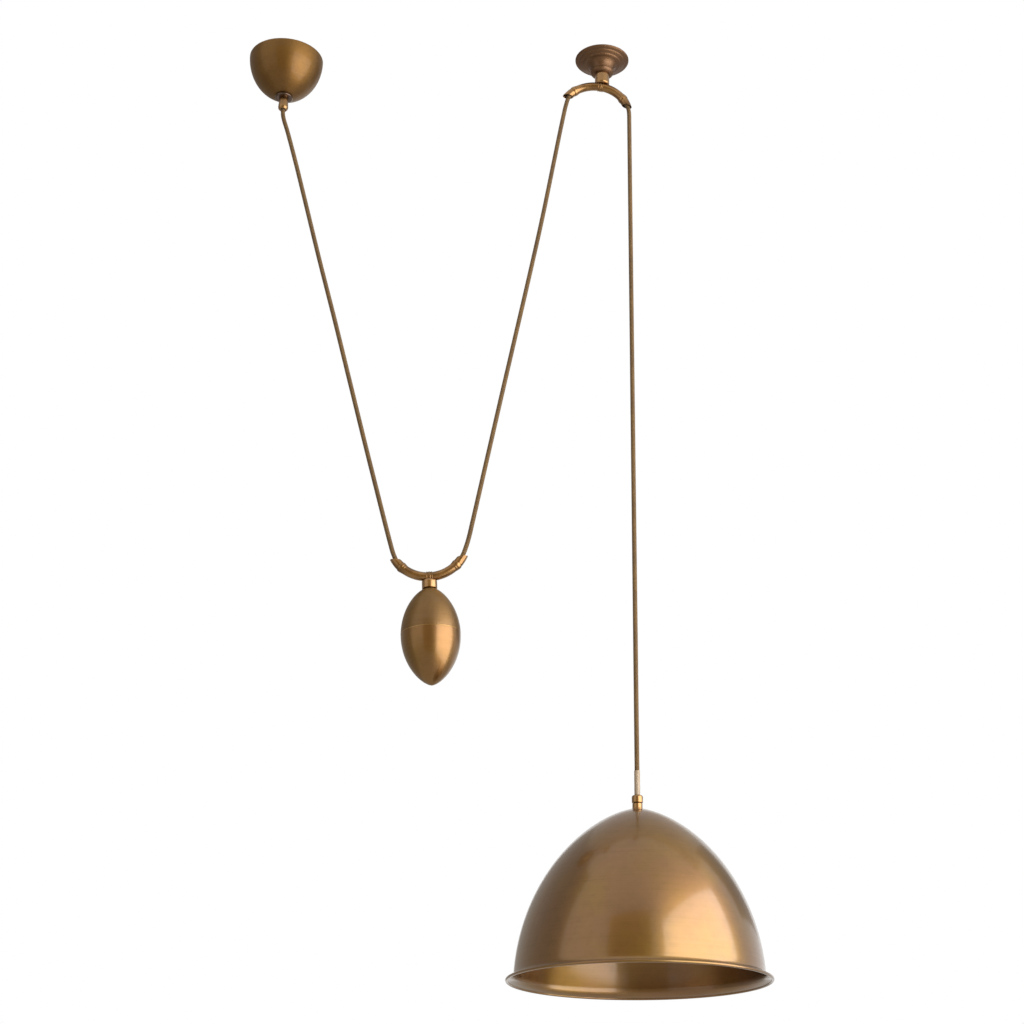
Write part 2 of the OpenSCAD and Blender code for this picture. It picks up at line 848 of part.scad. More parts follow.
module grip_body() {
    color(bright_brass) at_shade()
        difference() {
            union() {
                translate([0, 0, shade_top + seat])
                    rotate_extrude()
                        polygon([[0, 0], [grip_body_r + 0.8, 0], [grip_body_r + 0.8, 1],
                            [grip_body_r, 1.6], [grip_body_r, grip_body_h - 0.6],
                            [grip_body_r - 0.6, grip_body_h - seat], [0, grip_body_h - seat]]);
                translate([0, 0, grip_body_top - 1])
                    cylinder(r = spigot_r, h = spigot_h + 1);
            }
            translate([0, 0, shade_top - 1])
                cylinder(r = nipple_r + seat, h = grip_body_h - 1);
            translate([0, 0, shade_top - 1])
                cylinder(r = nipple_bore_r, h = 30);
        }
}

module grip_cap() {
    round_r = 3;
    color(bright_brass) at_shade()
        difference() {
            translate([0, 0, grip_cap_bottom])
                rotate_extrude()
                    polygon(concat([[0, 0], [grip_cap_r - 0.5, 0], [grip_cap_r, 0.5]],
                        [for (a = [0 : 15 : 90]) [grip_cap_r - round_r * (1 - cos(a)),
                            grip_cap_h - round_r * (1 - sin(a))]], [[0, grip_cap_h]]));
            translate([0, 0, grip_cap_bottom - 1])
                cylinder(r = spigot_r + seat, h = spigot_h - grip_groove + 1 + seat);
            translate([0, 0, grip_cap_bottom - 1])
                cylinder(r = nipple_bore_r, h = 30);
            translate([0, 0, grip_cap_top - clamp_drop])
                rotate([-90, 0, 0])
                    cylinder(r = clamp_r + seat, h = 20);
        }
}

module grip_screw() {
    color(steel) at_shade()
        translate([0, flex_r + 0.2, grip_cap_top - clamp_drop])
            rotate([-90, 0, 0])
                cylinder(r = clamp_r, h = grip_cap_r - flex_r - 1);
}

module flex_sleeve() {
    color([0.80, 0.80, 0.78]) at_shade()
        ring(sleeve_r, flex_r + seat, grip_cap_top + seat, grip_cap_top + sleeve_len);
}

module shade_flex() {
    color(cloth) at_shade()
        translate([0, 0, nipple_bottom - 4])
            cylinder(r = flex_r, h = drop_route[len(drop_route) - 1][1] - clear
                - nipple_bottom + 4, $fn = 32);
}

module lampholder_cap() {
    color(brass) at_shade()
        translate([0, 0, holder_top])
            rotate_extrude()
                polygon([[nipple_r + seat, 0], [nipple_r + 4, 0], [nipple_r + 5, -3],
                    [holder_r - 6, -9], [holder_r - 1, -14], [holder_r, -holder_cap_h],
                    [holder_r - holder_wall, -holder_cap_h], [holder_r - holder_wall - 1, -15],
                    [holder_r - holder_wall - 6, -10.5], [nipple_r + 3.5, -5],
                    [nipple_r + seat, -5]]);
}

module lampholder_shell() {
    color(brass) at_shade() {
        ring(holder_r, holder_r - holder_wall, shell_top - seat, shell_top - holder_shell_h);
        ring(holder_r + 2, holder_r - holder_wall, shell_top - 30, shell_top - 32.5);
    }
}

module lampholder_insulator() {
    color(porcelain) at_shade()
        difference() {
            translate([0, 0, shell_top - insulator_h])
                cylinder(r = holder_r - holder_wall - seat, h = insulator_h - seat);
            translate([0, 0, shell_top - insulator_h - 1])
                cylinder(r = lamp_bore_r + thread_wall + seat, h = thread_h + 1);
            translate([0, 0, shell_top - insulator_h])
                cylinder(r = contact_r + seat, h = thread_h + contact_t + seat);
        }
}

module lamp_thread() {
    color(bright_brass) at_shade()
        ring(lamp_bore_r + thread_wall, lamp_bore_r, shell_top - insulator_h,
            shell_top - insulator_h + thread_h - seat);
}

module lamp_contact() {
    color(bright_brass) at_shade()
        translate([0, 0, shell_top - insulator_h + thread_h])
            cylinder(r = contact_r, h = contact_t);
}

canopy_strap();
canopy_side_screws();
terminal_block();
terminal_screws();
earth_screw();
canopy();
canopy_flange();
cord_grip();
cord_grip_locknut();
cord_grip_screw();
canopy_tail();
hook_plate();
hook_stem();
hook_locknut();
hook_cup();
hook_ring_nut();
hook_neck();
pivot_pin();
arch_tube();
arch_band();
arch_ferrule_left();
arch_ferrule_right();
arch_flex();
weight_tube();
weight_band();
weight_ferrule_left();
weight_ferrule_right();
weight_flex();
weight_neck();
egg_upper();
egg_lower();
egg_seam_ring();
egg_rod();
egg_ballast();
egg_washer();
egg_nut();
canopy_flex();
return_flex();
drop_flex();
shade();
shade_nipple();
shade_locknut();
grip_cap();
grip_body();
grip_screw();
flex_sleeve();
shade_flex();
lampholder_cap();
lampholder_shell();
lampholder_insulator();
lamp_thread();
lamp_contact();
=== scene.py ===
# %% [markdown]
# # A rise and fall pendant light
# The lamp hangs from two fittings on the ceiling. One braided flex leaves the canopy, runs through
# the U-shaped guide tube on the egg-shaped counterweight, over the arch below the hook cup, and
# down to the shade. The frame with every piece at its real size and place is loaded first, and
# each piece made here takes the place of a plain solid in it.

# %% Load the frame
import json
import math

import bmesh
import bpy
from mathutils import Matrix, Vector
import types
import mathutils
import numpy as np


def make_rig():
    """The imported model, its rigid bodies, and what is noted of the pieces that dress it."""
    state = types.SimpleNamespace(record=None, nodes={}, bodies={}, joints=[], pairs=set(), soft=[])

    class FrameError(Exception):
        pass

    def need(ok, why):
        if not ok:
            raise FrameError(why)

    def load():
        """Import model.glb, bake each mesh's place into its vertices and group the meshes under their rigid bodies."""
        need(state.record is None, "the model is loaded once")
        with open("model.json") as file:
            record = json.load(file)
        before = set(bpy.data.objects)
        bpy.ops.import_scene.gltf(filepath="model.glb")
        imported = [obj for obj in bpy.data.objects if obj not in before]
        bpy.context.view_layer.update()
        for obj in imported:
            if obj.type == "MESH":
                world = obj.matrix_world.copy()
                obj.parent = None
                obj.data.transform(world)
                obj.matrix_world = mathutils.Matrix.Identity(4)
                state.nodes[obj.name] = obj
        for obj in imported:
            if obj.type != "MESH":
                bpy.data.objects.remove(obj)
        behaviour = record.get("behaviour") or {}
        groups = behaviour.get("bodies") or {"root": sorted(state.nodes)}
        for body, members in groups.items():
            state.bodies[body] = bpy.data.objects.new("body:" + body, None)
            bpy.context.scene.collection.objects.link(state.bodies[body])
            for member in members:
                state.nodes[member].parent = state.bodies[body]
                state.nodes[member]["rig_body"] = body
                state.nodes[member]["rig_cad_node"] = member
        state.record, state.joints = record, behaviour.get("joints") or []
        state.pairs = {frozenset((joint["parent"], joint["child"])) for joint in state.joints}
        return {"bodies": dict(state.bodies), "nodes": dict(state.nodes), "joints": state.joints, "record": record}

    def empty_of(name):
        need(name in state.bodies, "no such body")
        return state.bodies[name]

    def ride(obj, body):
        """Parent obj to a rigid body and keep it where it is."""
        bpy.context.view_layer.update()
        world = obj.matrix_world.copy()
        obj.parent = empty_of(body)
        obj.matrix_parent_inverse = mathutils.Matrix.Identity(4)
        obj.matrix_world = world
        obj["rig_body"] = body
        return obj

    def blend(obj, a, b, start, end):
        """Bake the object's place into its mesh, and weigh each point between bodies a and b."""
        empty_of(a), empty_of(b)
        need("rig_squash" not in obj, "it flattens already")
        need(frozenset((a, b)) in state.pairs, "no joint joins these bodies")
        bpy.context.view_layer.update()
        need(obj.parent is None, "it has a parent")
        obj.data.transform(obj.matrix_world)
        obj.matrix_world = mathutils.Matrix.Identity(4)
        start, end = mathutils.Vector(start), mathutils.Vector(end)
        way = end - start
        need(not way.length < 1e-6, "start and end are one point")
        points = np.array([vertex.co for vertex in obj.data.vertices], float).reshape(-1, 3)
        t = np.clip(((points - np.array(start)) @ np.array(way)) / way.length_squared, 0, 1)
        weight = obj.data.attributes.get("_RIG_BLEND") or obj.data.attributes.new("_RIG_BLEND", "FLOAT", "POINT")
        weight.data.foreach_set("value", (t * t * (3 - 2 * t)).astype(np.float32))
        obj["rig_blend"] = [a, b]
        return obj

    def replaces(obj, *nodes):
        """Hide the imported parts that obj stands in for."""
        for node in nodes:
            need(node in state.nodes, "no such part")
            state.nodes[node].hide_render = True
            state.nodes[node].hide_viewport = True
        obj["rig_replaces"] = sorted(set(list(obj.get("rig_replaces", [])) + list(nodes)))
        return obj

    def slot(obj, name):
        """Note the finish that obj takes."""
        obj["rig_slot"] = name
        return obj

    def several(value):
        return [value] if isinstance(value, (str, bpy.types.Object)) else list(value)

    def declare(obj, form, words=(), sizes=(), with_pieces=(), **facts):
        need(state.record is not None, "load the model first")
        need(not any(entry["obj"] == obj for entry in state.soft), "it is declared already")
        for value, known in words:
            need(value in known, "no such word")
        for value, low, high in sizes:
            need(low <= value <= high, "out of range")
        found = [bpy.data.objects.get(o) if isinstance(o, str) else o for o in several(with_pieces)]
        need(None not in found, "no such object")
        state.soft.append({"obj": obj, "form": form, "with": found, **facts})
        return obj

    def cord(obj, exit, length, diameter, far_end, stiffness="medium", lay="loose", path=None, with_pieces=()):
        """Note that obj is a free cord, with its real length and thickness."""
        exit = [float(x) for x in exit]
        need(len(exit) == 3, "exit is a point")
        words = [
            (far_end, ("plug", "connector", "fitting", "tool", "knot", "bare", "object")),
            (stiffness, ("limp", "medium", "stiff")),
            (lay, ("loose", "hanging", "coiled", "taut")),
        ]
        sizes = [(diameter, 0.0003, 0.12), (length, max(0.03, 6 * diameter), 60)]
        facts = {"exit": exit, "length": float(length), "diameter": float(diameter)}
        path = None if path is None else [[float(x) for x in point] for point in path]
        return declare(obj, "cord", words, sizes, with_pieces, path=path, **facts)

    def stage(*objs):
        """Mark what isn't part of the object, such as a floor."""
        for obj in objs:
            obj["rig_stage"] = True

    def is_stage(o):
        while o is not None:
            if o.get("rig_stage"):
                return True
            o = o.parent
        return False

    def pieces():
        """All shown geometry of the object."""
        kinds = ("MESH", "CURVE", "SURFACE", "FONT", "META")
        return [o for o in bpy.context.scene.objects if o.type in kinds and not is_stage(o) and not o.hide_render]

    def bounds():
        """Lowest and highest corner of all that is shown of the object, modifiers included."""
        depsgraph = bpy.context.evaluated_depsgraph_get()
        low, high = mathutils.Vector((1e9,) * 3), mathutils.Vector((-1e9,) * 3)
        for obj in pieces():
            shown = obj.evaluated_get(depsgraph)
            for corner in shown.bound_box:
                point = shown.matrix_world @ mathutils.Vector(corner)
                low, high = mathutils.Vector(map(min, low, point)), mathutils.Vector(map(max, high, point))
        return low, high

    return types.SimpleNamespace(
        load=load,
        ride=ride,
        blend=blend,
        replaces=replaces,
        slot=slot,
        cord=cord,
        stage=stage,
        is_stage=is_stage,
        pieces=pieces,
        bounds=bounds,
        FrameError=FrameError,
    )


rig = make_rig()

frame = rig.load()
cad_box = [list(corner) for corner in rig.bounds()]
print("nodes:", len(frame["nodes"]), "bodies:", list(frame["bodies"]))
print("size in metres:", [round(b - a, 3) for a, b in zip(*cad_box)])

# %% [markdown]
# ## Camera
# The picture looks up at the lamp from below shade height. A long lens, pitched up, keeps both
# ceiling fittings and the inside of the shade in view. The small sideways shift puts the lens
# axis a little right of the picture's middle, as in the photograph.

# %% Camera
MM = 0.001
FRAME_PX = 1024
FOCAL_PX = 1841
AXIS_PX = 580
SENSOR = 36.0
PITCH = 22.26
CAMERA_AT = (-40.1 * MM, -2799.3 * MM, -2037.5 * MM)
FAR_CLIP = 50

camera_data = bpy.data.cameras.new("camera")
camera_data.sensor_width = SENSOR
camera_data.lens = FOCAL_PX * SENSOR / FRAME_PX
camera_data.shift_x = (FRAME_PX / 2 - AXIS_PX) / FRAME_PX
camera_data.clip_end = FAR_CLIP
camera = bpy.data.objects.new("camera", camera_data)
camera.location = CAMERA_AT
camera.rotation_euler = (math.radians(90 + PITCH), 0, 0)
bpy.context.scene.collection.objects.link(camera)
bpy.context.scene.camera = camera
bpy.context.scene.view_settings.view_transform = "Standard"
print("lens:", round(camera_data.lens, 1), "mm, shift:", round(camera_data.shift_x, 4))

# %% [markdown]
# ## The flex
# Each free stretch of flex keeps the route of its plain tube in the frame. It could be a curve with
# a round bevel, but the weave has to follow the flex, so rings are set along the route one by one and
# the tube carries its own UV map: U runs round it, V along it in metres. The route is smoothed
# first, with a curve that passes through every point.

# %% Routes of the flex, X and Z in millimetres
FLEX_R = 3.8 * MM
CANOPY_ROUTE = [(-576, -108), (-575.5, -117), (-573, -129), (-566, -151), (-548, -214),
                (-526, -296), (-493.5, -418), (-461, -536), (-430.5, -650), (-400.5, -762),
                (-371, -870), (-356.3, -923.5), (-348.8, -950), (-345.2, -962), (-341.7, -971),
                (-338.2, -978), (-333, -984.3)]
RETURN_ROUTE = [(-54.1, -72), (-59.4, -78.4), (-62.2, -84.8), (-64.4, -93), (-66.9, -104),
                (-70, -121), (-75.5, -152), (-86, -214), (-107, -337), (-129.5, -457.5),
                (-152, -574), (-174, -688), (-195, -798), (-216, -908), (-221.5, -936),
                (-225, -950), (-228.7, -962), (-232.6, -971.4), (-237.5, -979.6)]
DROP_ROUTE = [(39.7, -90.6), (44.2, -97.6), (46.9, -104.8), (48.1, -112), (48.5, -120),
              (48.5, -130), (48.5, -400), (48.5, -700), (48.5, -1000), (48.5, -1310),
              (48.5, -1326)]


def smooth_route(points, step):
    """Centripetal curve through the points, sampled about every step metres."""
    pts = [Vector((x * MM, 0, z * MM)) for x, z in points]
    pts = [2 * pts[0] - pts[1], *pts, 2 * pts[-1] - pts[-2]]
    line = []
    for p0, p1, p2, p3 in zip(pts, pts[1:], pts[2:], pts[3:]):
        t1 = (p1 - p0).length ** 0.5
        t2 = t1 + (p2 - p1).length ** 0.5
        t3 = t2 + (p3 - p2).length ** 0.5
        count = max(1, round((p2 - p1).length / step))
        for i in range(count):
            t = t1 + (t2 - t1) * i / count
            a1 = p0 * ((t1 - t) / t1) + p1 * (t / t1)
            a2 = p1 * ((t2 - t) / (t2 - t1)) + p2 * ((t - t1) / (t2 - t1))
            a3 = p2 * ((t3 - t) / (t3 - t2)) + p3 * ((t - t2) / (t3 - t2))
            b1 = a1 * ((t2 - t) / t2) + a2 * (t / t2)
            b2 = a2 * ((t3 - t) / (t3 - t1)) + a3 * ((t - t1) / (t3 - t1))
            line.append(b1 * ((t2 - t) / (t2 - t1)) + b2 * ((t - t1) / (t2 - t1)))
    return [*line, pts[-2]]


def route_length(line):
    """Length of a line of points, in metres."""
    return sum((b - a).length for a, b in zip(line, line[1:]))


# %% Sweep a tube along a route
CORD_STEP = 3 * MM
CORD_SIDES = 20


def flex_tube(name, line):
    """A closed tube along a line in the XZ plane, with a UV map that follows it."""
    mesh = bpy.data.meshes.new(name)
    shape = bmesh.new()
    uv = shape.loops.layers.uv.new("UVMap")
    turns = [2 * math.pi * k / CORD_SIDES for k in range(CORD_SIDES)]
    rings = []
    along = 0.0
    for i, point in enumerate(line):
        ahead = line[min(i + 1, len(line) - 1)] - line[max(i - 1, 0)]
        side = Vector((-ahead.z, 0, ahead.x)).normalized()
        along += (point - line[i - 1]).length if i else 0.0
        ring = [shape.verts.new(point + FLEX_R * (side * math.cos(a) + Vector((0, math.sin(a), 0))))
                for a in turns]
        rings.append((ring, along))
    for (low, v0), (high, v1) in zip(rings, rings[1:]):
        for k in range(CORD_SIDES):
            n = (k + 1) % CORD_SIDES
            face = shape.faces.new((low[k], low[n], high[n], high[k]))
            corners = [(k, v0), (k + 1, v0), (k + 1, v1), (k, v1)]
            for loop, (u, v) in zip(face.loops, corners):
                loop[uv].uv = (u / CORD_SIDES, v)
    shape.faces.new(list(reversed(rings[0][0])))
    shape.faces.new(rings[-1][0])
    bmesh.ops.recalc_face_normals(shape, faces=shape.faces)
    for face in shape.faces:
        face.smooth = len(face.verts) == 4
    shape.to_mesh(mesh)
    shape.free()
    piece = bpy.data.objects.new(name, mesh)
    bpy.context.scene.collection.objects.link(piece)
    return piece


# %% The three free stretches
stretches = {"canopy_flex": (CANOPY_ROUTE, "counterweight"),
             "return_flex": (RETURN_ROUTE, "counterweight"),
             "drop_flex": (DROP_ROUTE, "shade_group")}
for name, (route, moving) in stretches.items():
    line = smooth_route(route, CORD_STEP)
    piece = flex_tube("braided_" + name, line)
    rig.replaces(piece, name)
    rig.slot(piece, "braided_flex")
    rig.blend(piece, "ceiling", moving, start=line[0], end=line[-1])
    length = route_length(line)
    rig.cord(piece, exit=line[0], length=round(length, 3), diameter=2 * FLEX_R, far_end="object",
            stiffness="medium", lay="taut", path=line)
    print(name, "is", round(length, 3), "m long with", len(line), "rings")

# %% [markdown]
# ## Turned metal
# The shade, the canopy, the cup, the egg and the grips are all spun or turned, so each is one
# outline swept round an axis. The outline starts as a single point, is extruded point by point
# to its next place, and the Spin tool turns it into a solid of revolution. A fine bevel rounds
# the edges that a polishing wheel would have rounded.


# %% Work on one piece at a time
def start_clean():
    """Leave edit mode and select nothing, because an operator acts on all that is selected."""
    if bpy.context.object and bpy.context.object.mode != "OBJECT":
        bpy.ops.object.mode_set(mode="OBJECT")
    bpy.ops.object.select_all(action="DESELECT")


def take(piece):
    """Select one piece alone."""
    start_clean()
    bpy.context.view_layer.objects.active = piece
    piece.select_set(True)


def shaped(piece, kind, **settings):
    """Finish a piece with one modifier and apply it."""
    take(piece)
    modifier = piece.modifiers.new(kind, kind)
    for key, value in settings.items():
        setattr(modifier, key, value)
    bpy.ops.object.modifier_apply(modifier=modifier.name)


def cut_out(piece, cutter):
    """Cut the cutter's shape out of a piece and throw the cutter away."""
    shaped(piece, "BOOLEAN", operation="DIFFERENCE", solver="EXACT", object=cutter)
    bpy.data.objects.remove(cutter)


# %% Round stretches of an outline
def oval(cx, cz, wide, tall, start, end, steps):
    """Points of a stretch of an ellipse, angles in degrees from +X towards +Z."""
    turns = [math.radians(start + (end - start) * i / steps) for i in range(steps + 1)]
    return [(cx + wide * math.cos(a), cz + tall * math.sin(a)) for a in turns]


def arc(cx, cz, radius, start, end, steps):
    """Points of a stretch of a circle."""
    return oval(cx, cz, radius, radius, start, end, steps)


# %% Draw an outline
def draw_outline(name, outline, axis_x):
    """Extrude one point through the outline; the object is left in edit mode."""
    start_clean()
    r, z = outline[0]
    bpy.ops.mesh.primitive_plane_add(size=MM, location=(0, 0, 0))
    piece = bpy.context.object
    piece.name = name
    piece.data.name = name
    bpy.ops.object.mode_set(mode="EDIT")
    bpy.ops.mesh.merge(type="CENTER")
    bpy.ops.transform.translate(value=(axis_x + r * MM, 0, z * MM))
    for (r0, z0), (r1, z1) in zip(outline, outline[1:]):
        step = ((r1 - r0) * MM, 0, (z1 - z0) * MM)
        bpy.ops.mesh.extrude_vertices_move(TRANSFORM_OT_translate={"value": step})
    return piece


def close_outline():
    """Join the last point to the first."""
    shape = bmesh.from_edit_mesh(bpy.context.object.data)
    shape.verts.ensure_lookup_table()
    ends = [v for v in shape.verts if len(v.link_edges) == 1]
    for v in shape.verts:
        v.select = v in ends
    shape.select_flush_mode()
    bpy.ops.mesh.edge_face_add()


# %% Turn it and polish it
MERGE = 0.002 * MM
SHARP = math.radians(32)
WIDE_STEPS = 192
SPIN_STEPS = 128
SMALL_STEPS = 96
THIN_STEPS = 64


def merged(distance=MERGE):
    """Merge the points of the mesh in edit mode that coincide, and turn its faces outwards."""
    bpy.ops.mesh.select_all(action="SELECT")
    bpy.ops.mesh.remove_doubles(threshold=distance)
    bpy.ops.mesh.normals_make_consistent(inside=False)


def polished(piece, edge):
    """Round the edges by a width in millimetres and shade the rest smooth."""
    take(piece)
    if edge:
        shaped(piece, "BEVEL", width=edge * MM, segments=2, limit_method="ANGLE", angle_limit=SHARP)
    bpy.ops.object.shade_smooth_by_angle(angle=SHARP)
    return piece


def turned(name, outline, axis_x=0.0, edge=0.15, steps=SPIN_STEPS):
    """A solid of revolution about the vertical line at axis_x; the outline is in millimetres."""
    piece = draw_outline(name, outline, axis_x)
    close_outline()
    bpy.ops.mesh.select_all(action="SELECT")
    bpy.ops.mesh.spin(steps=steps, angle=2 * math.pi, center=(axis_x, 0, 0), axis=(0, 0, 1))
    merged()
    bpy.ops.object.mode_set(mode="OBJECT")
    return polished(piece, edge)


# %% Put it in the place of its solid
def dress(piece, node, body, slot):
    """Let a piece stand for a node of the frame, on its body and with its material slot."""
    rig.replaces(piece, node)
    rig.slot(piece, slot)
    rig.ride(piece, body)
    print(piece.name, "has", len(piece.data.polygons), "faces")


# %% [markdown]
# ## The shade
# A deep dome spun from sheet brass. A sphere could be scaled and cut for it, but the real one has
# a flatter shoulder and a steeper side. So its outline is one cubic curve from the grip to the
# foot, where the sheet flares into a lip that is rolled round a wire.

# %% Sizes of the shade
SHADE_X = 48.5 * MM
SHADE_TOP = -1387
FOOT_R = 188
FOOT_DEPTH = 250
SHADE_R = 200
SHADE_H = 261
SHEET = 0.9
LIP_R = 2.2
BORE_R = 5.02
DOME_STEPS = 64

# the curve's four points, the last three as shares of the foot's radius and depth
DOME_START = Vector((9, 0))
DOME_SHARES = ((0.495, 0.084), (0.957, 0.472), (1, 1))
DOME = [DOME_START, *[Vector((FOOT_R * x, -FOOT_DEPTH * z)) for x, z in DOME_SHARES]]
print("the lip is", 2 * SHADE_R, "mm across,", SHADE_H, "mm below the top")


# %% Outline of the dome
def dome_point(t, inset):
    """A point of the curve, moved inwards by the thickness of the sheet."""
    a, b, c, d = DOME
    u = 1 - t
    p = u**3 * a + 3 * u * u * t * b + 3 * u * t * t * c + t**3 * d
    v = (3 * u * u * (b - a) + 6 * u * t * (c - b) + 3 * t * t * (d - c)).normalized()
    return (p.x + inset * v.y, SHADE_TOP + p.y - inset * v.x)


dome_out = [dome_point(i / DOME_STEPS, 0) for i in range(DOME_STEPS + 1)]
dome_in = [dome_point(i / DOME_STEPS, SHEET) for i in range(DOME_STEPS, -1, -1)]
foot_z = SHADE_TOP - FOOT_DEPTH
flare_out = [(FOOT_R + 0.7, foot_z - 2.4), (FOOT_R + 2.4, foot_z - 4.6), (FOOT_R + 4.8, foot_z - 6.4)]
flare_in = [(x - SHEET * 0.6, z - SHEET * 0.8) for x, z in reversed(flare_out)]
roll = arc(SHADE_R - LIP_R, SHADE_TOP - SHADE_H + LIP_R, LIP_R, 112, -185, 20)
shade_outline = [(BORE_R, SHADE_TOP), *dome_out, *flare_out, *roll, *flare_in, *dome_in,
                 (BORE_R, SHADE_TOP - SHEET)]
print("the shade's outline has", len(shade_outline), "points")

# %% Spin the shade
shade_piece = turned("dome_shade", shade_outline, SHADE_X, edge=0, steps=WIDE_STEPS)
dress(shade_piece, "shade", "shade_group", "aged_brass")

# %% [markdown]
# ## The canopy
# A small spun bowl. It is half an ellipse, cut flat where the flange sits, and open at the
# ceiling, where the strap and the terminals are. A scaled hemisphere would do as well, but one
# outline gives the inner wall with it.

# %% Canopy
CANOPY_X = -576 * MM
CANOPY_R = 66
CANOPY_H = 81
CANOPY_WALL = 1.4
FLANGE_Z = -79
BOWL_STEPS = 40


def bowl_line(inset):
    """The bowl's ellipse from the ceiling down to the flange, made smaller by the inset."""
    tall = CANOPY_H - inset
    lowest = math.degrees(math.asin((-FLANGE_Z - inset) / tall))
    return oval(0, 0, CANOPY_R - inset, tall, 0, -lowest, BOWL_STEPS)


canopy_outline = [*bowl_line(0), (BORE_R, FLANGE_Z), (BORE_R, FLANGE_Z + CANOPY_WALL),
                  *reversed(bowl_line(CANOPY_WALL))]
dress(turned("spun_canopy", canopy_outline, CANOPY_X, edge=0.3), "canopy", "ceiling", "aged_brass")

# %% [markdown]
# ## The flange under the canopy
# A dark ring with a rounded edge closes the bowl round the cord grip. It sits a hair below the
# bowl, as all pieces here do that touch: two faces in one plane would flicker.

# %% Flange
CLEAR = 0.02
FLANGE_R = 13.8
FLANGE_H = 5
FLANGE_ROUND = 2.2
flange_low = FLANGE_Z - FLANGE_H
flange_outline = [(BORE_R, flange_low), (FLANGE_R - 0.2, flange_low),
                  *arc(FLANGE_R, flange_low + FLANGE_ROUND, FLANGE_ROUND, -80, 60, 6),
                  (FLANGE_R + 0.6, FLANGE_Z - 0.4), (FLANGE_R + 0.2, FLANGE_Z - CLEAR),
                  (BORE_R, FLANGE_Z - CLEAR)]
dress(turned("canopy_ring", flange_outline, CANOPY_X, edge=0.2), "canopy_flange", "ceiling", "bronze")

# %% [markdown]
# ## The hook cup
# A darker bronze cup covers the ceiling hook. Two shallow steps run round its flare, and a trumpet
# curve, a quarter of an ellipse, narrows it to the ring nut. The steps are points of the outline
# and need no inset or groove of their own.

# %% Hook cup
CUP_R = 48.5
CUP_H = 25
CUP_WALL = 1.6
STEM_R = 5.02
FLARE_R = 31
FLARE_H = 14
THROAT_R = 19.5
trumpet = oval(FLARE_R, -CUP_H, FLARE_R - THROAT_R, FLARE_H, 90, 180, 18)
cup_out = [(CUP_R - 0.8, 0), (CUP_R, -0.8), (CUP_R, -2.2), (CUP_R - 1.2, -3.4), (CUP_R - 4, -4.4),
           (CUP_R - 7, -5), (CUP_R - 7.6, -6.2), (CUP_R - 10.6, -7.6), (CUP_R - 14, -8.4),
           (CUP_R - 14.8, -9.8), *trumpet]
cup_in = [(max(STEM_R + 1, r - CUP_WALL), min(0, z + CUP_WALL)) for r, z in cup_out[2:]]
cup_outline = [*cup_out, (STEM_R, -CUP_H), (STEM_R, CUP_WALL - CUP_H), *reversed(cup_in),
               (CUP_R - CUP_WALL, 0)]
dress(turned("trumpet_cup", cup_outline, edge=0.25), "hook_cup", "ceiling", "bronze")

# %% Ring nut under the cup
NECK_TOP = -33
NECK_BOTTOM = -55
NECK_R = 13
NUT_R = 21
NUT_H = 7.5
nut_side = [(NUT_R - 6, 0), (NUT_R - 4.4, 0.4), (NUT_R - 2.8, 1.3), (NUT_R - 1.3, 2.7),
            (NUT_R - 0.4, 4.2), (NUT_R, 5.6), (NUT_R - 0.4, 6.8), (NUT_R - 1.4, NUT_H - 0.1),
            (NUT_R - 2, NUT_H)]
nut_outline = [(STEM_R, NECK_TOP), *[(r, NECK_TOP + z) for r, z in nut_side],
               (STEM_R, NECK_TOP + NUT_H)]
dress(turned("ring_nut", nut_outline, edge=0.2), "hook_ring_nut", "ceiling", "bronze")

# %% [markdown]
# ## Bent tubes
# Arch and counterweight each hold a piece of brass tube bent to the same radius, with a turned
# ferrule on each mouth. A bevelled curve would give the bare tube, but not its raised rings and
# grooves. So a ring of points is extruded along the bend: each step turns it about the centre of
# the bend and resizes it to the next radius.

# %% Draw a ring along the bend
BEND_R = 63
TUBE_R = 7.5
TUBE_BORE = 6.6
RING_SIDES = 48


def bend_centre(angle, path=BEND_R):
    """Point on the bend's centreline, angle in degrees from its crown towards +X."""
    a = math.radians(angle)
    return Vector((path * MM * math.sin(a), 0, path * MM * math.cos(a)))


def drawn(name, outline, closed=True):
    """A ring drawn along the bend; the outline is a list of angle in degrees and radius."""
    start_clean()
    angle, r = outline[0]
    bpy.ops.mesh.primitive_circle_add(vertices=RING_SIDES, radius=r * MM,
                                      location=bend_centre(angle),
                                      rotation=(0, math.pi / 2 + math.radians(angle), 0))
    piece = bpy.context.object
    piece.name = name
    piece.data.name = name
    bpy.ops.object.transform_apply(location=True, rotation=True, scale=True)
    bpy.ops.object.mode_set(mode="EDIT")
    loop = [*outline, outline[0]] if closed else outline
    for (a0, r0), (a1, r1) in zip(loop, loop[1:]):
        bpy.ops.mesh.extrude_edges_move(TRANSFORM_OT_translate={"value": (0, 0, 0)})
        if a1 != a0:
            bpy.ops.transform.rotate(value=math.radians(a0 - a1), orient_axis="Y",
                                     center_override=(0, 0, 0))
        if r1 != r0:
            bpy.ops.transform.resize(value=(r1 / r0,) * 3, center_override=bend_centre(a1))
    merged()
    return piece


def steady(start, end, radius, step=2):
    """Outline points at one radius along a stretch of the bend."""
    count = max(1, round(abs(end - start) / step))
    return [(start + (end - start) * i / count, radius) for i in range(count + 1)]


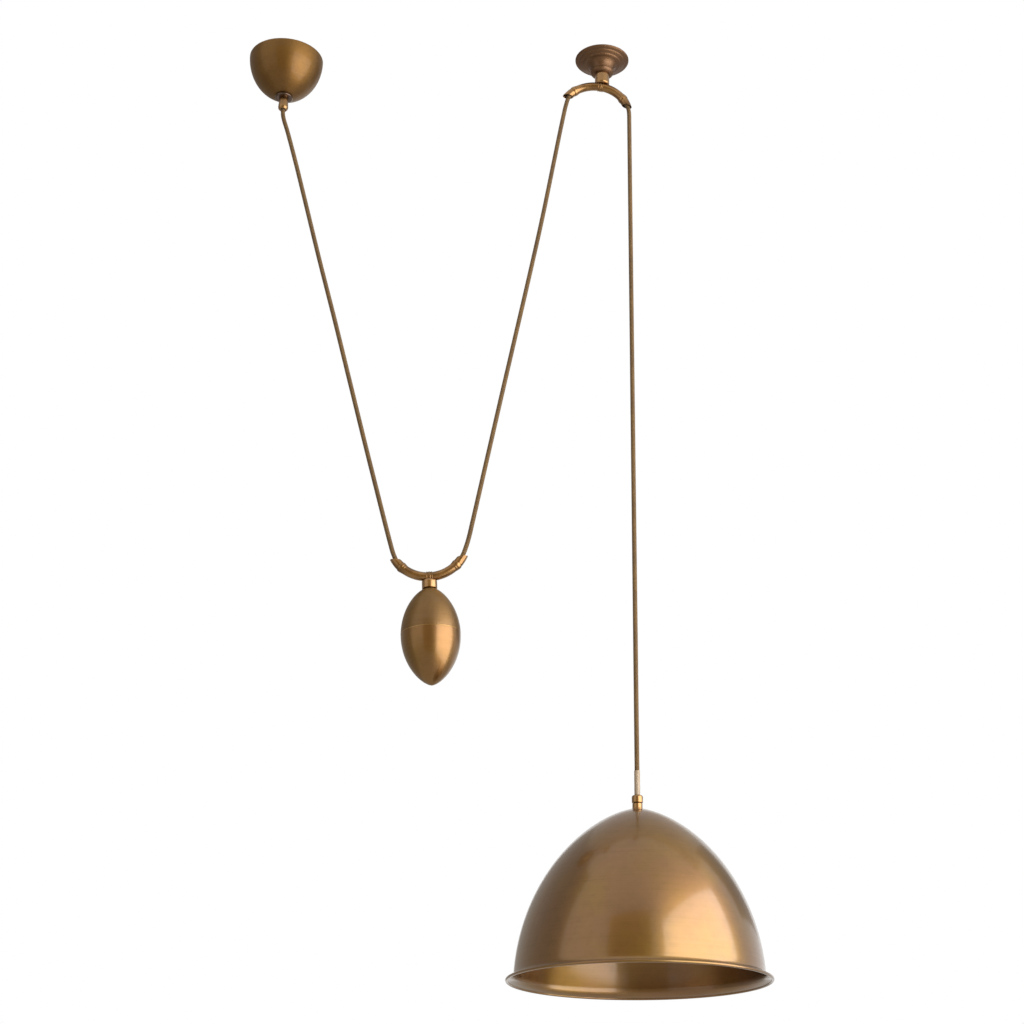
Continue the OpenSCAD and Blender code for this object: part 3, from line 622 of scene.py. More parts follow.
# %% Where the two bends hang
PIVOT_Z = -45
PIVOT_TO_CROWN = 14
ARCH_TILT = 11.2
WEIGHT_TILT = 3
WEIGHT_CROWN = Vector((-284, 0, -1005)) * MM
to_arch = (Matrix.Translation((0, 0, PIVOT_Z * MM))
           @ Matrix.Rotation(math.radians(ARCH_TILT), 4, "Y")
           @ Matrix.Translation((0, 0, -(BEND_R + PIVOT_TO_CROWN) * MM)))
to_weight = Matrix.Translation(WEIGHT_CROWN) @ Matrix.Rotation(math.radians(-WEIGHT_TILT), 4, "Y")
to_smile = to_weight @ Matrix.Translation((0, 0, BEND_R * MM)) @ Matrix.Rotation(math.pi, 4, "Y")
half_turn = Matrix.Rotation(math.pi, 4, "Z")
print("centres of the bends:", [[round(v, 3) for v in m.translation] for m in (to_arch, to_smile)])


def place(piece, matrix):
    """Move the mesh itself, so that the object stays at the origin."""
    piece.data.transform(matrix)
    piece.data.update()
    return piece


# %% Guide tube
TUBE_HALF = 53


def guide_tube(name):
    """A plain tube along the bend, open at both mouths."""
    outside = steady(-TUBE_HALF, TUBE_HALF, TUBE_R)
    inside = steady(TUBE_HALF, -TUBE_HALF, TUBE_BORE)
    piece = drawn(name, [*outside, *inside])
    bpy.ops.object.mode_set(mode="OBJECT")
    return polished(piece, 0)


# %% Ferrule
FERRULE_START = 42
FERRULE_R = 8
RAISED_R = 8.6
RING_WIDE = 5.2
CONE_LONG = 3.2
SPOUT_END = 80
SPOUT_TAPER = 0.03
MOUTH_ANGLE = 60
MOUTH_CUT = 4
MOUTH_BORE = 6.8


def ferrule(name):
    """The ferrule on the mouth towards +X, its end cut off slanting."""
    ring_end = FERRULE_START + RING_WIDE
    cone = FERRULE_START - CONE_LONG
    spout = [(a, FERRULE_R - SPOUT_TAPER * (a - ring_end))
             for a in (*range(SPOUT_END, 51, -4), ring_end + 1.4)]
    groove = [(ring_end + 1.3, FERRULE_R - 0.5), (ring_end + 0.4, FERRULE_R - 0.5)]
    raised = [(ring_end + 0.3, RAISED_R - 0.3), (ring_end - 0.4, RAISED_R - 0.05),
              (ring_end - 1.6, RAISED_R + 0.1), (ring_end - 2.8, RAISED_R + 0.1),
              (FERRULE_START + 0.9, RAISED_R), (FERRULE_START + 0.2, RAISED_R - 0.3)]
    foot = [(FERRULE_START + 0.1, FERRULE_R - 0.2), (FERRULE_START - 0.7, FERRULE_R - 0.2),
            (FERRULE_START - 0.8, FERRULE_R + 0.15), (cone + 0.6, TUBE_R + 0.3),
            (cone, TUBE_R + 0.1), (cone, TUBE_R + CLEAR)]
    inside = [*steady(cone, TUBE_HALF, TUBE_R + CLEAR), (TUBE_HALF, MOUTH_BORE),
              *steady(TUBE_HALF + 2, SPOUT_END, MOUTH_BORE)]
    piece = drawn(name, [*spout, *groove, *raised, *foot, *inside], closed=False)
    cut = math.radians(MOUTH_CUT)
    bpy.ops.mesh.select_all(action="SELECT")
    bpy.ops.mesh.bisect(plane_co=bend_centre(MOUTH_ANGLE),
                        plane_no=(math.sin(cut), 0, math.cos(cut)), clear_inner=True)
    bpy.ops.mesh.select_all(action="DESELECT")
    bpy.ops.mesh.select_non_manifold(extend=False)
    bpy.ops.mesh.bridge_edge_loops()
    bpy.ops.mesh.select_all(action="SELECT")
    bpy.ops.mesh.normals_make_consistent(inside=False)
    bpy.ops.object.mode_set(mode="OBJECT")
    return polished(piece, 0.25)


# %% Two tubes and four ferrules
for node, body, matrix in (("arch", "arch", to_arch), ("weight", "counterweight", to_smile)):
    tube = place(guide_tube(node + "_guide_tube"), matrix)
    dress(tube, node + "_tube", body, "raw_brass")
    # the mouth towards +X comes first, and the upturned bend has its left mouth there
    sides = ("left", "right") if node == "weight" else ("right", "left")
    for side, turn in zip(sides, (Matrix.Identity(4), half_turn)):
        mouth = place(ferrule(f"{node}_mouth_{side}"), matrix @ turn)
        dress(mouth, f"{node}_ferrule_{side}", body, "raw_brass")

# %% [markdown]
# ## The bands at the crowns
# Each tube wears a raised band at its middle, with two rims and a bead between dark grooves. It is
# drawn along the bend as the ferrules are, because a straight turned ring wouldn't follow it.


# %% Band
BAND_HALF = 4.6


def band(name):
    """The raised band: half of its outline in degrees and radius, and the same mirrored."""
    half = [(BAND_HALF, TUBE_R + CLEAR), (BAND_HALF, RAISED_R - 0.3), (4.3, RAISED_R),
            (3.3, RAISED_R), (3.0, RAISED_R - 0.3), (2.9, RAISED_R - 0.75), (2.1, RAISED_R - 0.75),
            (2.0, RAISED_R - 0.35), (1.4, RAISED_R - 0.12), (0.5, RAISED_R - 0.02)]
    outside = [*half, *[(-a, radius) for a, radius in reversed(half)]]
    piece = drawn(name, [*outside, *steady(-BAND_HALF, BAND_HALF, TUBE_R + CLEAR)[1:-1]])
    bpy.ops.object.mode_set(mode="OBJECT")
    return polished(piece, 0.1)


# %% [markdown]
# ## Lug and boss
# The band of the arch carries a flat lug with an eye for the pivot pin, and the band of the
# counterweight a square boss for the rod of the egg. Both start as cubes. Edges that are picked by
# their place are bevelled, which gives the lug its round head, and each is joined to its band.


# %% Block with bevelled edges
def block(name, width, depth, low, high):
    """A block on the local Z axis between two heights, left in edit mode."""
    start_clean()
    middle = (0, 0, (low + high) / 2 * MM)
    bpy.ops.mesh.primitive_cube_add(size=MM, location=middle)
    piece = bpy.context.object
    piece.name = name
    bpy.ops.object.transform_apply(location=True)
    bpy.ops.object.mode_set(mode="EDIT")
    bpy.ops.transform.resize(value=(width, depth, high - low), center_override=middle)
    return piece


def bevel_edges(chosen, offset, segments):
    """Bevel the edges of the mesh in edit mode that the function picks."""
    shape = bmesh.from_edit_mesh(bpy.context.object.data)
    bpy.ops.mesh.select_all(action="DESELECT")
    for edge in shape.edges:
        edge.select_set(chosen(*[v.co for v in edge.verts]))
    bmesh.update_edit_mesh(bpy.context.object.data)
    bpy.ops.mesh.bevel(offset=offset * MM, segments=segments, affect="EDGES")
    bpy.ops.object.mode_set(mode="OBJECT")


def joined(keep, extra):
    """Join the second piece to the first."""
    take(keep)
    extra.select_set(True)
    bpy.ops.object.join()
    return keep


# %% Lug with its eye
LUG_WIDE = 7.4
LUG_THICK = 5
LUG_HEAD = 4
LUG_ROUND = 3.6
EYE_R = 1.55
crown_top = BEND_R + TUBE_R + 0.3
eye_z = BEND_R + PIVOT_TO_CROWN
lug_top = eye_z + LUG_HEAD
lug = block("lug", LUG_WIDE, LUG_THICK, crown_top, lug_top)
bevel_edges(lambda a, b: abs(a.y - b.y) > MM and min(a.z, b.z) > (lug_top - 1) * MM, LUG_ROUND, 8)
start_clean()
bpy.ops.mesh.primitive_cylinder_add(vertices=48, radius=EYE_R * MM, depth=4 * LUG_THICK * MM,
                                    location=(0, 0, eye_z * MM), rotation=(math.pi / 2, 0, 0))
cut_out(lug, bpy.context.object)
arch_ring = joined(band("arch_ring"), polished(lug, 0.3))
dress(place(arch_ring, to_arch), "arch_band", "arch", "raw_brass")

# %% The square boss for the rod
BOSS_WIDE = 9
boss = block("boss", BOSS_WIDE, BOSS_WIDE, crown_top, BEND_R + TUBE_R + 5)
bevel_edges(lambda a, b: abs(a.z - b.z) > MM, 0.8, 3)
weight_ring = joined(band("weight_ring"), polished(boss, 0.2))
dress(place(weight_ring, to_smile), "weight_band", "counterweight", "raw_brass")

# %% [markdown]
# ## The flex out of sight
# Inside the tubes, the canopy and the grip the same flex goes on, and it shows at the mouths. Each
# hidden stretch is swept as the free ones are, and rides on the body that holds it.

# %% Hidden flex
TAIL_ROUTE = [(-576, -107.5), (-576, -66), (-575.4, -57), (-573.5, -50), (-570, -38), (-565, -28),
              (-559.5, -20), (-554.4, -14.6)]
SHADE_ROUTE = [(48.5, -1326.3), (48.5, -1402.4)]
FLEX_PATH = BEND_R - 0.7
FLEX_HALF = 48.9
FLEX_STEPS = 48
bend_turns = [FLEX_HALF * (2 * i / FLEX_STEPS - 1) for i in range(FLEX_STEPS + 1)]
in_bend = [bend_centre(a, FLEX_PATH) for a in bend_turns]
hidden = {
    "canopy_tail": ("ceiling", smooth_route(TAIL_ROUTE, CORD_STEP)),
    "arch_flex": ("arch", [to_arch @ point for point in in_bend]),
    "weight_flex": ("counterweight", [to_smile @ point for point in in_bend]),
    "shade_flex": ("shade_group", smooth_route(SHADE_ROUTE, CORD_STEP)),
}
for name, (body, line) in hidden.items():
    dress(flex_tube("braided_" + name, line), name, body, "braided_flex")

# %% [markdown]
# ## The two necks
# Below the cup a sleeve hides the pivot of the arch, and on the egg a collar stands under the
# U-shaped tube. Each is turned first. A saddle the size of the tube is then cut across it with a
# boolean, because the round notch where two cylinders meet is hard to draw by hand.


# %% Cut a saddle
def saddle_cut(piece, radius, matrices):
    """Cut a lying cylinder out of a piece at each of the places."""
    for matrix in matrices:
        start_clean()
        bpy.ops.mesh.primitive_cylinder_add(vertices=96, radius=radius * MM, depth=60 * MM)
        cutter = bpy.context.object
        cutter.data.transform(matrix @ Matrix.Rotation(math.pi / 2, 4, "Y"))
        cut_out(piece, cutter)
    return polished(piece, 0.2)


def arch_crown(swivel):
    """Where the arch's crown lies when the arch has turned on its pin."""
    return (Matrix.Translation((0, 0, PIVOT_Z * MM))
            @ Matrix.Rotation(math.radians(ARCH_TILT + swivel), 4, "Y")
            @ Matrix.Translation((0, 0, -PIVOT_TO_CROWN * MM)))


# %% Neck sleeve, with room for the arch to swivel
NECK_BORE = 9.1
NECK_ROUND = 3
SWIVELS = (-1.6, 0, 1.6)
neck_top = NECK_TOP - CLEAR
neck_foot = arc(NECK_R - NECK_ROUND, NECK_BOTTOM + NECK_ROUND, NECK_ROUND, 0, -75, 5)
neck_outline = [(NECK_BORE, neck_top), (NECK_R - 0.6, neck_top), (NECK_R, NECK_TOP - 0.6),
                (NECK_R, NECK_TOP - 8), *neck_foot, (NECK_BORE, NECK_BOTTOM)]
neck_piece = turned("neck_sleeve", neck_outline, edge=0)
saddle_cut(neck_piece, RAISED_R + 0.6, [arch_crown(swivel) for swivel in SWIVELS])
dress(neck_piece, "hook_neck", "ceiling", "raw_brass")

# %% Collar on the egg
COLLAR_TOP = -5.7
COLLAR_H = 15.5
COLLAR_ROUND = 4
COLLAR_FLOOR = 2
BOSS_ROOM = 6.51
ROD_ROOM = 3.1
collar_low = COLLAR_TOP - COLLAR_H
shoulder = arc(NECK_R - 0.5 - COLLAR_ROUND, COLLAR_TOP - COLLAR_ROUND, COLLAR_ROUND, 90, 0, 9)
collar_outline = [(BOSS_ROOM, COLLAR_TOP), *shoulder, (NECK_R - 0.5, collar_low + 0.6),
                  (NECK_R - 1.1, collar_low), (ROD_ROOM, collar_low),
                  (ROD_ROOM, collar_low + COLLAR_FLOOR), (BOSS_ROOM, collar_low + COLLAR_FLOOR)]
collar_piece = turned("egg_collar", collar_outline, edge=0)
saddle_cut(collar_piece, RAISED_R + CLEAR, [Matrix.Identity(4)])
dress(place(collar_piece, to_weight), "weight_neck", "counterweight", "raw_brass")

# %% [markdown]
# ## The egg
# Two spun shells meet on a thin bright ring a little above the widest place. A scaled sphere has
# no pointed ends, so the outline is a formula with its own power for each half. The shells are
# turned upright and then tilted with the tube, because the egg hangs three degrees off plumb.

# %% Egg outline
EGG_R = 48
EGG_TOP = 80
EGG_BOTTOM = 83.5
EGG_WALL = 1.5
TOP_POWER = 0.63
LOW_POWER = 0.67
TOP_STRETCH = 1.5
TOP_CUT = 1.3
SEAM_GAP = 0.8
SEAM_DEPTH = 76.3
ROD_BORE = 3.02
EGG_STEPS = 40
egg_crown = EGG_TOP - TOP_CUT
egg_mid = collar_low - EGG_TOP + TOP_CUT
seam_z = egg_crown - SEAM_DEPTH


def egg_radius(z, inset=0.0):
    """The egg's radius at a height above its widest place."""
    r, up, down = EGG_R - inset, EGG_TOP - inset + TOP_STRETCH, EGG_BOTTOM - inset
    if z > 0:
        return r * max(0, 1 - (z / up) ** 2) ** TOP_POWER
    return r * max(0, 1 - (z / down) ** 2) ** LOW_POWER


def egg_line(start, end, inset=0.0):
    """Points of the egg's outline, closer together towards its ends."""
    line = []
    for i in range(EGG_STEPS + 1):
        z = start + (end - start) * (1 - math.cos(math.pi * i / EGG_STEPS)) / 2
        line.append((egg_radius(z, inset), egg_mid + z))
    return line


# %% Two shells
top_seam = seam_z + SEAM_GAP / 2
low_seam = seam_z - SEAM_GAP / 2
upper_outline = [(ROD_BORE, egg_mid + egg_crown), *egg_line(egg_crown, top_seam),
                 *egg_line(top_seam, egg_crown - EGG_WALL, EGG_WALL),
                 (ROD_BORE, egg_mid + egg_crown - EGG_WALL)]
lower_outline = [*egg_line(low_seam, -EGG_BOTTOM)[:-1], (0, egg_mid - EGG_BOTTOM),
                 (0, egg_mid - EGG_BOTTOM + EGG_WALL),
                 *egg_line(-EGG_BOTTOM + EGG_WALL, low_seam, EGG_WALL)[1:]]
for half, outline in (("upper", upper_outline), ("lower", lower_outline)):
    shell = place(turned(f"egg_{half}_shell", outline, edge=0.12), to_weight)
    dress(shell, "egg_" + half, "counterweight", "aged_brass")

# %% [markdown]
# ## The seam of the egg
# The bright line between the shells is the edge of a ring, which stands out by a fifth of a
# millimetre. The sleeve that joins the shells is one piece with it, behind them.

# %% Bright ring in the seam
RING_OUT = 0.2
SLEEVE_HALF = 4
SLEEVE_WALL = 1.2
seam_r = egg_radius(seam_z)
sleeve_r = egg_radius(seam_z + 5, EGG_WALL) - CLEAR
seam_mid = egg_mid + seam_z
half_gap = SEAM_GAP / 2 - CLEAR
seam_outline = [(sleeve_r, seam_mid + half_gap), (seam_r + 0.05, seam_mid + half_gap),
                (seam_r + RING_OUT, seam_mid + half_gap - 0.12),
                (seam_r + RING_OUT, seam_mid - half_gap + 0.12),
                (seam_r + 0.05, seam_mid - half_gap), (sleeve_r, seam_mid - half_gap),
                (sleeve_r, seam_mid - SLEEVE_HALF), (sleeve_r - SLEEVE_WALL, seam_mid - SLEEVE_HALF),
                (sleeve_r - SLEEVE_WALL, seam_mid + SLEEVE_HALF), (sleeve_r, seam_mid + SLEEVE_HALF)]
seam_piece = place(turned("seam_ring", seam_outline, edge=0), to_weight)
dress(seam_piece, "egg_seam_ring", "counterweight", "raw_brass")

# %% [markdown]
# ## The grip on the shade
# The flex hangs from a small turned grip on top of the shade, with a plain cap and a groove below
# it, and a clear sleeve keeps it from chafing. Base, cap and sleeve are three outlines, because
# they are three pieces that unscrew or slide off.

# %% Base of the grip
FLEX_BORE = 4.1
GRIP_R = 7.9
GRIP_H = 9
GRIP_RIM = 0.8
SPIGOT_R = 6.2
SPIGOT_H = 6
grip_low = SHADE_TOP + CLEAR
grip_top = SHADE_TOP + GRIP_H
grip_outline = [(BORE_R, grip_low), (GRIP_R + GRIP_RIM, grip_low), (GRIP_R + GRIP_RIM, SHADE_TOP + 1),
                (GRIP_R, SHADE_TOP + 1.6), (GRIP_R, grip_top - 0.6), (GRIP_R - 0.6, grip_top - CLEAR),
                (SPIGOT_R, grip_top - CLEAR), (SPIGOT_R, grip_top + SPIGOT_H),
                (FLEX_BORE, grip_top + SPIGOT_H), (FLEX_BORE, grip_top - 1), (BORE_R, grip_top - 1)]
grip_piece = turned("grip_base", grip_outline, SHADE_X, edge=0.12, steps=SMALL_STEPS)
dress(grip_piece, "grip_body", "shade_group", "raw_brass")

# %% Cap with its round shoulder
CAP_R = 8.7
CAP_H = 12
CAP_ROUND = 3
GROOVE = 0.9
cap_low = grip_top + GROOVE
cap_top = cap_low + CAP_H
cap_floor = grip_top + SPIGOT_H + 2 * CLEAR
cap_outline = [(SPIGOT_R + CLEAR, cap_low), (CAP_R - 0.5, cap_low), (CAP_R, cap_low + 0.5),
               *arc(CAP_R - CAP_ROUND, cap_top - CAP_ROUND, CAP_ROUND, 0, 90, 9),
               (FLEX_BORE, cap_top), (FLEX_BORE, cap_floor), (SPIGOT_R + CLEAR, cap_floor)]
cap_piece = turned("grip_top_cap", cap_outline, SHADE_X, edge=0.12, steps=SMALL_STEPS)
dress(cap_piece, "grip_cap", "shade_group", "raw_brass")

# %% Clear sleeve
SLEEVE_R = 4.5
SLEEVE_BORE = 3.82
SLEEVE_LEN = 39
sleeve_outline = [(SLEEVE_BORE, cap_top + CLEAR), (SLEEVE_R, cap_top + CLEAR),
                  (SLEEVE_R, cap_top + SLEEVE_LEN), (SLEEVE_BORE, cap_top + SLEEVE_LEN)]
sleeve_piece = turned("clear_tube", sleeve_outline, SHADE_X, edge=0.15, steps=THIN_STEPS)
dress(sleeve_piece, "flex_sleeve", "shade_group", "clear_sleeve")

# %% [markdown]
# ## The grip under the canopy
# A longer grip widens towards the flex and ends in a chamfered mouth. Its side is nearly straight,
# so a few points give it, and the bevel softens them.

# %% Grip under the canopy
CORD_GRIP_R = 9
GRIP_LOW = -108
GRIP_NECK_TOP = -68
GRIP_BORE = 4
GRIP_NECK_R = 5
grip_side = [(GRIP_BORE, GRIP_LOW + 1.2), (GRIP_NECK_R, GRIP_LOW), (CORD_GRIP_R - 2.4, GRIP_LOW),
             (CORD_GRIP_R - 0.5, GRIP_LOW + 2.4), (CORD_GRIP_R, GRIP_LOW + 5),
             (CORD_GRIP_R - 0.1, GRIP_LOW + 8), (CORD_GRIP_R - 0.4, GRIP_LOW + 12),
             (CORD_GRIP_R - 0.7, GRIP_LOW + 17), (CORD_GRIP_R - 0.9, flange_low - CLEAR)]
grip_neck = [(GRIP_NECK_R, flange_low - CLEAR), (GRIP_NECK_R, GRIP_NECK_TOP), (GRIP_BORE, GRIP_NECK_TOP)]
cord_grip_piece = turned("canopy_grip", [*grip_side, *grip_neck], CANOPY_X, edge=0.2, steps=SMALL_STEPS)
dress(cord_grip_piece, "cord_grip", "ceiling", "raw_brass")

# %% [markdown]
# ## Lampholder
# Inside the shade a plain holder hangs on the threaded tube: a brass cap and skirt, a porcelain
# core, and a screw shell. The photograph leaves it in shadow, so it is modelled as such holders
# are made.

# %% Holder cap
HOLDER_R = 20
HOLDER_TOP = -1392.9
HOLDER_WALL = 1.5
CAP_TALL = 20
CAP_BOSS = 5
cap_out = [(9, 0), (9.8, -2.2), (11, -4.2), (12.8, -6.6), (15, -9.4), (17.4, -12), (19, -14.6),
           (19.8, -17.4), (HOLDER_R, -CAP_TALL)]
cap_in = [(HOLDER_R - HOLDER_WALL, -CAP_TALL), (18.3, -17.6), (17.5, -15.4), (16, -13.2), (13.8, -11),
          (11.6, -8.6), (9.8, -6.4), (8.5, -CAP_BOSS)]
holder_cap_outline = [(r, HOLDER_TOP + z)
                      for r, z in ((BORE_R, 0), *cap_out, *cap_in, (BORE_R, -CAP_BOSS))]
holder_cap_piece = turned("holder_cap", holder_cap_outline, SHADE_X, edge=0.15, steps=SMALL_STEPS)
dress(holder_cap_piece, "lampholder_cap", "shade_group", "aged_brass")

# %% Skirt with its rolled bead
SHELL_TOP = HOLDER_TOP - CAP_TALL
SKIRT_H = 42
BEAD_R = 1.25
BEAD_DEPTH = 31.25
skirt_top = SHELL_TOP - CLEAR
skirt_low = SHELL_TOP - SKIRT_H
bead = arc(HOLDER_R + 0.4, SHELL_TOP - BEAD_DEPTH, BEAD_R, 80, -80, 8)
skirt_outline = [(HOLDER_R - HOLDER_WALL, skirt_top), (HOLDER_R, skirt_top),
                 (HOLDER_R, SHELL_TOP - 29.8), *bead, (HOLDER_R, SHELL_TOP - 32.7),
                 (HOLDER_R, skirt_low), (HOLDER_R - HOLDER_WALL, skirt_low)]
skirt_piece = turned("holder_skirt", skirt_outline, SHADE_X, edge=0.15, steps=SMALL_STEPS)
dress(skirt_piece, "lampholder_shell", "shade_group", "aged_brass")

# %% Porcelain core
CORE_R = 18.48
CORE_H = 36
CORE_DEPTH = 30
CONTACT_R = 4.02
CONTACT_TOP = 31.22
THREAD_ROOM = 13.82
core_low = SHELL_TOP - CORE_H
core_outline = [(0, skirt_top), (CORE_R, skirt_top), (CORE_R, core_low + 0.8),
                (CORE_R - 0.3, core_low + 0.2), (CORE_R - 0.9, core_low),
                (THREAD_ROOM + 0.6, core_low), (THREAD_ROOM, core_low + 0.6),
                (THREAD_ROOM, core_low + CORE_DEPTH), (CONTACT_R, core_low + CORE_DEPTH),
                (CONTACT_R, core_low + CONTACT_TOP), (0, core_low + CONTACT_TOP)]
core_piece = turned("porcelain_core", core_outline, SHADE_X, edge=0.15, steps=SMALL_STEPS)
dress(core_piece, "lampholder_insulator", "shade_group", "porcelain")

# %% [markdown]
# ## The rolled thread
# The screw shell is thin sheet with a thread rolled into it. The Spin tool only turns, so one wave
# of the sheet is wound by the Screw modifier, which also lifts it, and Solidify gives the wall.

# %% Rolled thread
THREAD_R = 13.2
THREAD_DEPTH = 0.42
THREAD_PITCH = 3.6
THREAD_TURNS = 8
THREAD_STEPS = 48
THREAD_SHEET = 0.3
WAVE_STEPS = 12
wave = [(THREAD_R + THREAD_DEPTH * math.cos(2 * math.pi * i / WAVE_STEPS),
         core_low + 0.6 + THREAD_PITCH * i / WAVE_STEPS) for i in range(WAVE_STEPS + 1)]
thread_piece = draw_outline("rolled_thread", wave, 0)
shaped(thread_piece, "SCREW", axis="Z", steps=THREAD_STEPS, render_steps=THREAD_STEPS,
       iterations=THREAD_TURNS, screw_offset=THREAD_PITCH * MM)
bpy.ops.object.mode_set(mode="EDIT")
merged(0.01 * MM)
shaped(thread_piece, "SOLIDIFY", thickness=THREAD_SHEET * MM, offset=0)
place(thread_piece, Matrix.Translation((SHADE_X, 0, 0)))
dress(polished(thread_piece, 0), "lamp_thread", "shade_group", "raw_brass")

# %% [markdown]
# ## A small language for materials
# A node material is a sum of patterns, and sums read best as Python. Wire holds one socket and
# adds a Math node for each operator, so that 1 - mask * 0.4 works. Its node method adds any
# other node from its type, its settings and the values or links of its inputs.


# %% Wire
class Wire:
    """One output socket of a node tree."""

    def __init__(self, tree, socket=None):
        self.tree = tree
        self.socket = socket

    def node(self, kind, settings=None, inputs=None, output=0):
        """Add a node of a type; the settings come first, then its sockets' values or links."""
        made = self.tree.nodes.new("ShaderNode" + kind)
        for key, value in (settings or {}).items():
            setattr(made, key, value)
        for key, value in (inputs or {}).items():
            if isinstance(value, Wire):
                self.tree.links.new(value.socket, made.inputs[key])
            else:
                made.inputs[key].default_value = value
        return Wire(self.tree, made.outputs[output] if len(made.outputs) else None)

    def out(self, name):
        """Another output of the node that this wire leaves."""
        return Wire(self.tree, self.socket.node.outputs[name])

    def math(self, operation, *values):
        """A Math node on the values, or on this wire alone when none are given."""
        return self.node("Math", {"operation": operation}, dict(enumerate(values or (self,))))

    def __add__(self, other):
        return self.math("ADD", self, other)

    def __radd__(self, other):
        return self.math("ADD", other, self)

    def __sub__(self, other):
        return self.math("SUBTRACT", self, other)

    def __rsub__(self, other):
        return self.math("SUBTRACT", other, self)

    def __mul__(self, other):
        return self.math("MULTIPLY", self, other)

    def __rmul__(self, other):
        return self.math("MULTIPLY", other, self)

    def __truediv__(self, other):
        return self.math("DIVIDE", self, other)

    def __rtruediv__(self, other):
        return self.math("DIVIDE", other, self)

    def __pow__(self, other):
        return self.math("POWER", self, other)

    def __rpow__(self, other):
        return self.math("POWER", other, self)


# %% Masks and colours
def ease(value, low, high):
    """0 below low, 1 above high, smooth between."""
    return value.node("MapRange", {"interpolation_type": "SMOOTHSTEP"},
                      {"Value": value, "From Min": low, "From Max": high})


def tint(low, high, factor):
    """A colour between two colours; the Mix node numbers its colour sockets 6, 7 and, going out, 2."""
    return factor.node("Mix", {"data_type": "RGBA"}, {0: factor, 6: low, 7: high}, output=2)


def srgb(r, g, b):
    """A colour as a picture shows it, 0 to 255, turned into the linear values a shader takes."""
    return (*[((c / 255 + 0.055) / 1.055) ** 2.4 if c > 10 else c / 255 / 12.92 for c in (r, g, b)], 1)


# %% Start and close a material
def blank(owner):
    """The start of a wire in the emptied node tree of a material or a world."""
    owner.use_nodes = True
    owner.node_tree.nodes.clear()
    return Wire(owner.node_tree)


def new_finish(name):
    """An empty material: the start of a wire, and the function that closes it."""
    material = bpy.data.materials.new(name)
    start = blank(material)

    def close(sockets, constants):
        shader = start.node("BsdfPrincipled", {}, {**constants, **sockets})
        start.node("OutputMaterial", {}, {"Surface": shader})
        return material

    return start, close


# %% [markdown]
# ## Brass that was turned and left to age
# Everything spun or turned carries fine rings from the tool and the polishing wheel. On the real
# lamp they blur reflections into tall streaks. Noise is read on a circle round the axis, so its
# long sides run round the piece, and it is very fine along the radius and the height. Slow noise
# on top gives the uneven brown of old lacquer, and small spots where it has gone through.


# %% Coordinates round an axis
def local_axes(start, centre, tilt):
    """The place on a piece as seen from a tilted centre, and its x, y and z, in metres."""
    here = start.node("TexCoord", output="Object")
    local = start.node("Mapping", {"vector_type": "TEXTURE"},
                       {"Vector": here, "Location": centre, "Rotation": (0, math.radians(tilt), 0)})
    x = local.node("SeparateXYZ", {}, {0: local})
    return local, x, x.out("Y"), x.out("Z")


def turned_noise(start, around, fine, axes, detail=2.0):
    """Noise that is slow round the axis and fine along radius and height."""
    radius, z, cos_a, sin_a = axes
    on_ring = start.node("CombineXYZ", {}, {0: cos_a * around, 1: sin_a * around, 2: z * fine})
    return start.node("TexNoise", {"noise_dimensions": "4D"},
                      {"Vector": on_ring, "W": radius * fine, "Scale": 1.0, "Detail": detail,
                       "Roughness": 0.6})


# %% Aged, lacquered brass
CROSSWISE = 0.25
NEVER_ZERO = 0.0001
LACQUER_ROUGH = 0.13
SPOT_SHADE = 0.35


def old_brass(name, axis, tones, rough=0.3, brush=0.5, coat=0.8, streak=0.5):
    """Brass with turning rings about an axis, in a dark, a warm and a light tone."""
    start, close = new_finish(name)
    centre, tilt = axis
    dark, warm, light = tones
    local, x, y, z = local_axes(start, centre, tilt)
    radius = (x * x + y * y) ** 0.5
    safe = radius + NEVER_ZERO
    axes = (radius, z, x / safe, y / safe)
    rings = turned_noise(start, 1.2, 520, axes)
    hair = turned_noise(start, 5, 2600, axes, 1.0)
    cloud = start.node("TexNoise", {}, {"Vector": local, "Scale": 11.0, "Detail": 3.0, "Roughness": 0.5})
    mottle = start.node("TexNoise", {}, {"Vector": local, "Scale": 70.0, "Detail": 3.0, "Roughness": 0.6})
    pits = start.node("TexVoronoi", {}, {"Vector": local, "Scale": 240.0, "Randomness": 1.0})
    spots = (1 - ease(pits, 0.04, 0.12)) * ease(mottle, 0.52, 0.62) * 0.15
    colour = tint(warm, light, ease(cloud * 0.8 + rings * 0.2, 0.36, 0.64))
    colour = tint(colour, dark, ease(mottle * 0.5 + rings * 0.5, 0.42, 0.72) * 0.35)
    colour = tint(colour, (*[SPOT_SHADE * c for c in dark[:3]], 1), spots)
    roughness = rough + (rings - 0.5) * 0.16 * brush + (hair - 0.5) * 0.12 * brush + (cloud - 0.5) * 0.08
    bump = start.node("Bump", {}, {"Strength": 0.3 * brush, "Distance": 0.02 * MM,
                                   "Height": rings * 0.6 + hair * 0.4})
    return close({"Base Color": colour, "Roughness": roughness, "Normal": bump},
                 {"Metallic": 1.0, "Coat Weight": coat, "Coat Roughness": LACQUER_ROUGH,
                  "Anisotropic": streak, "Anisotropic Rotation": CROSSWISE})


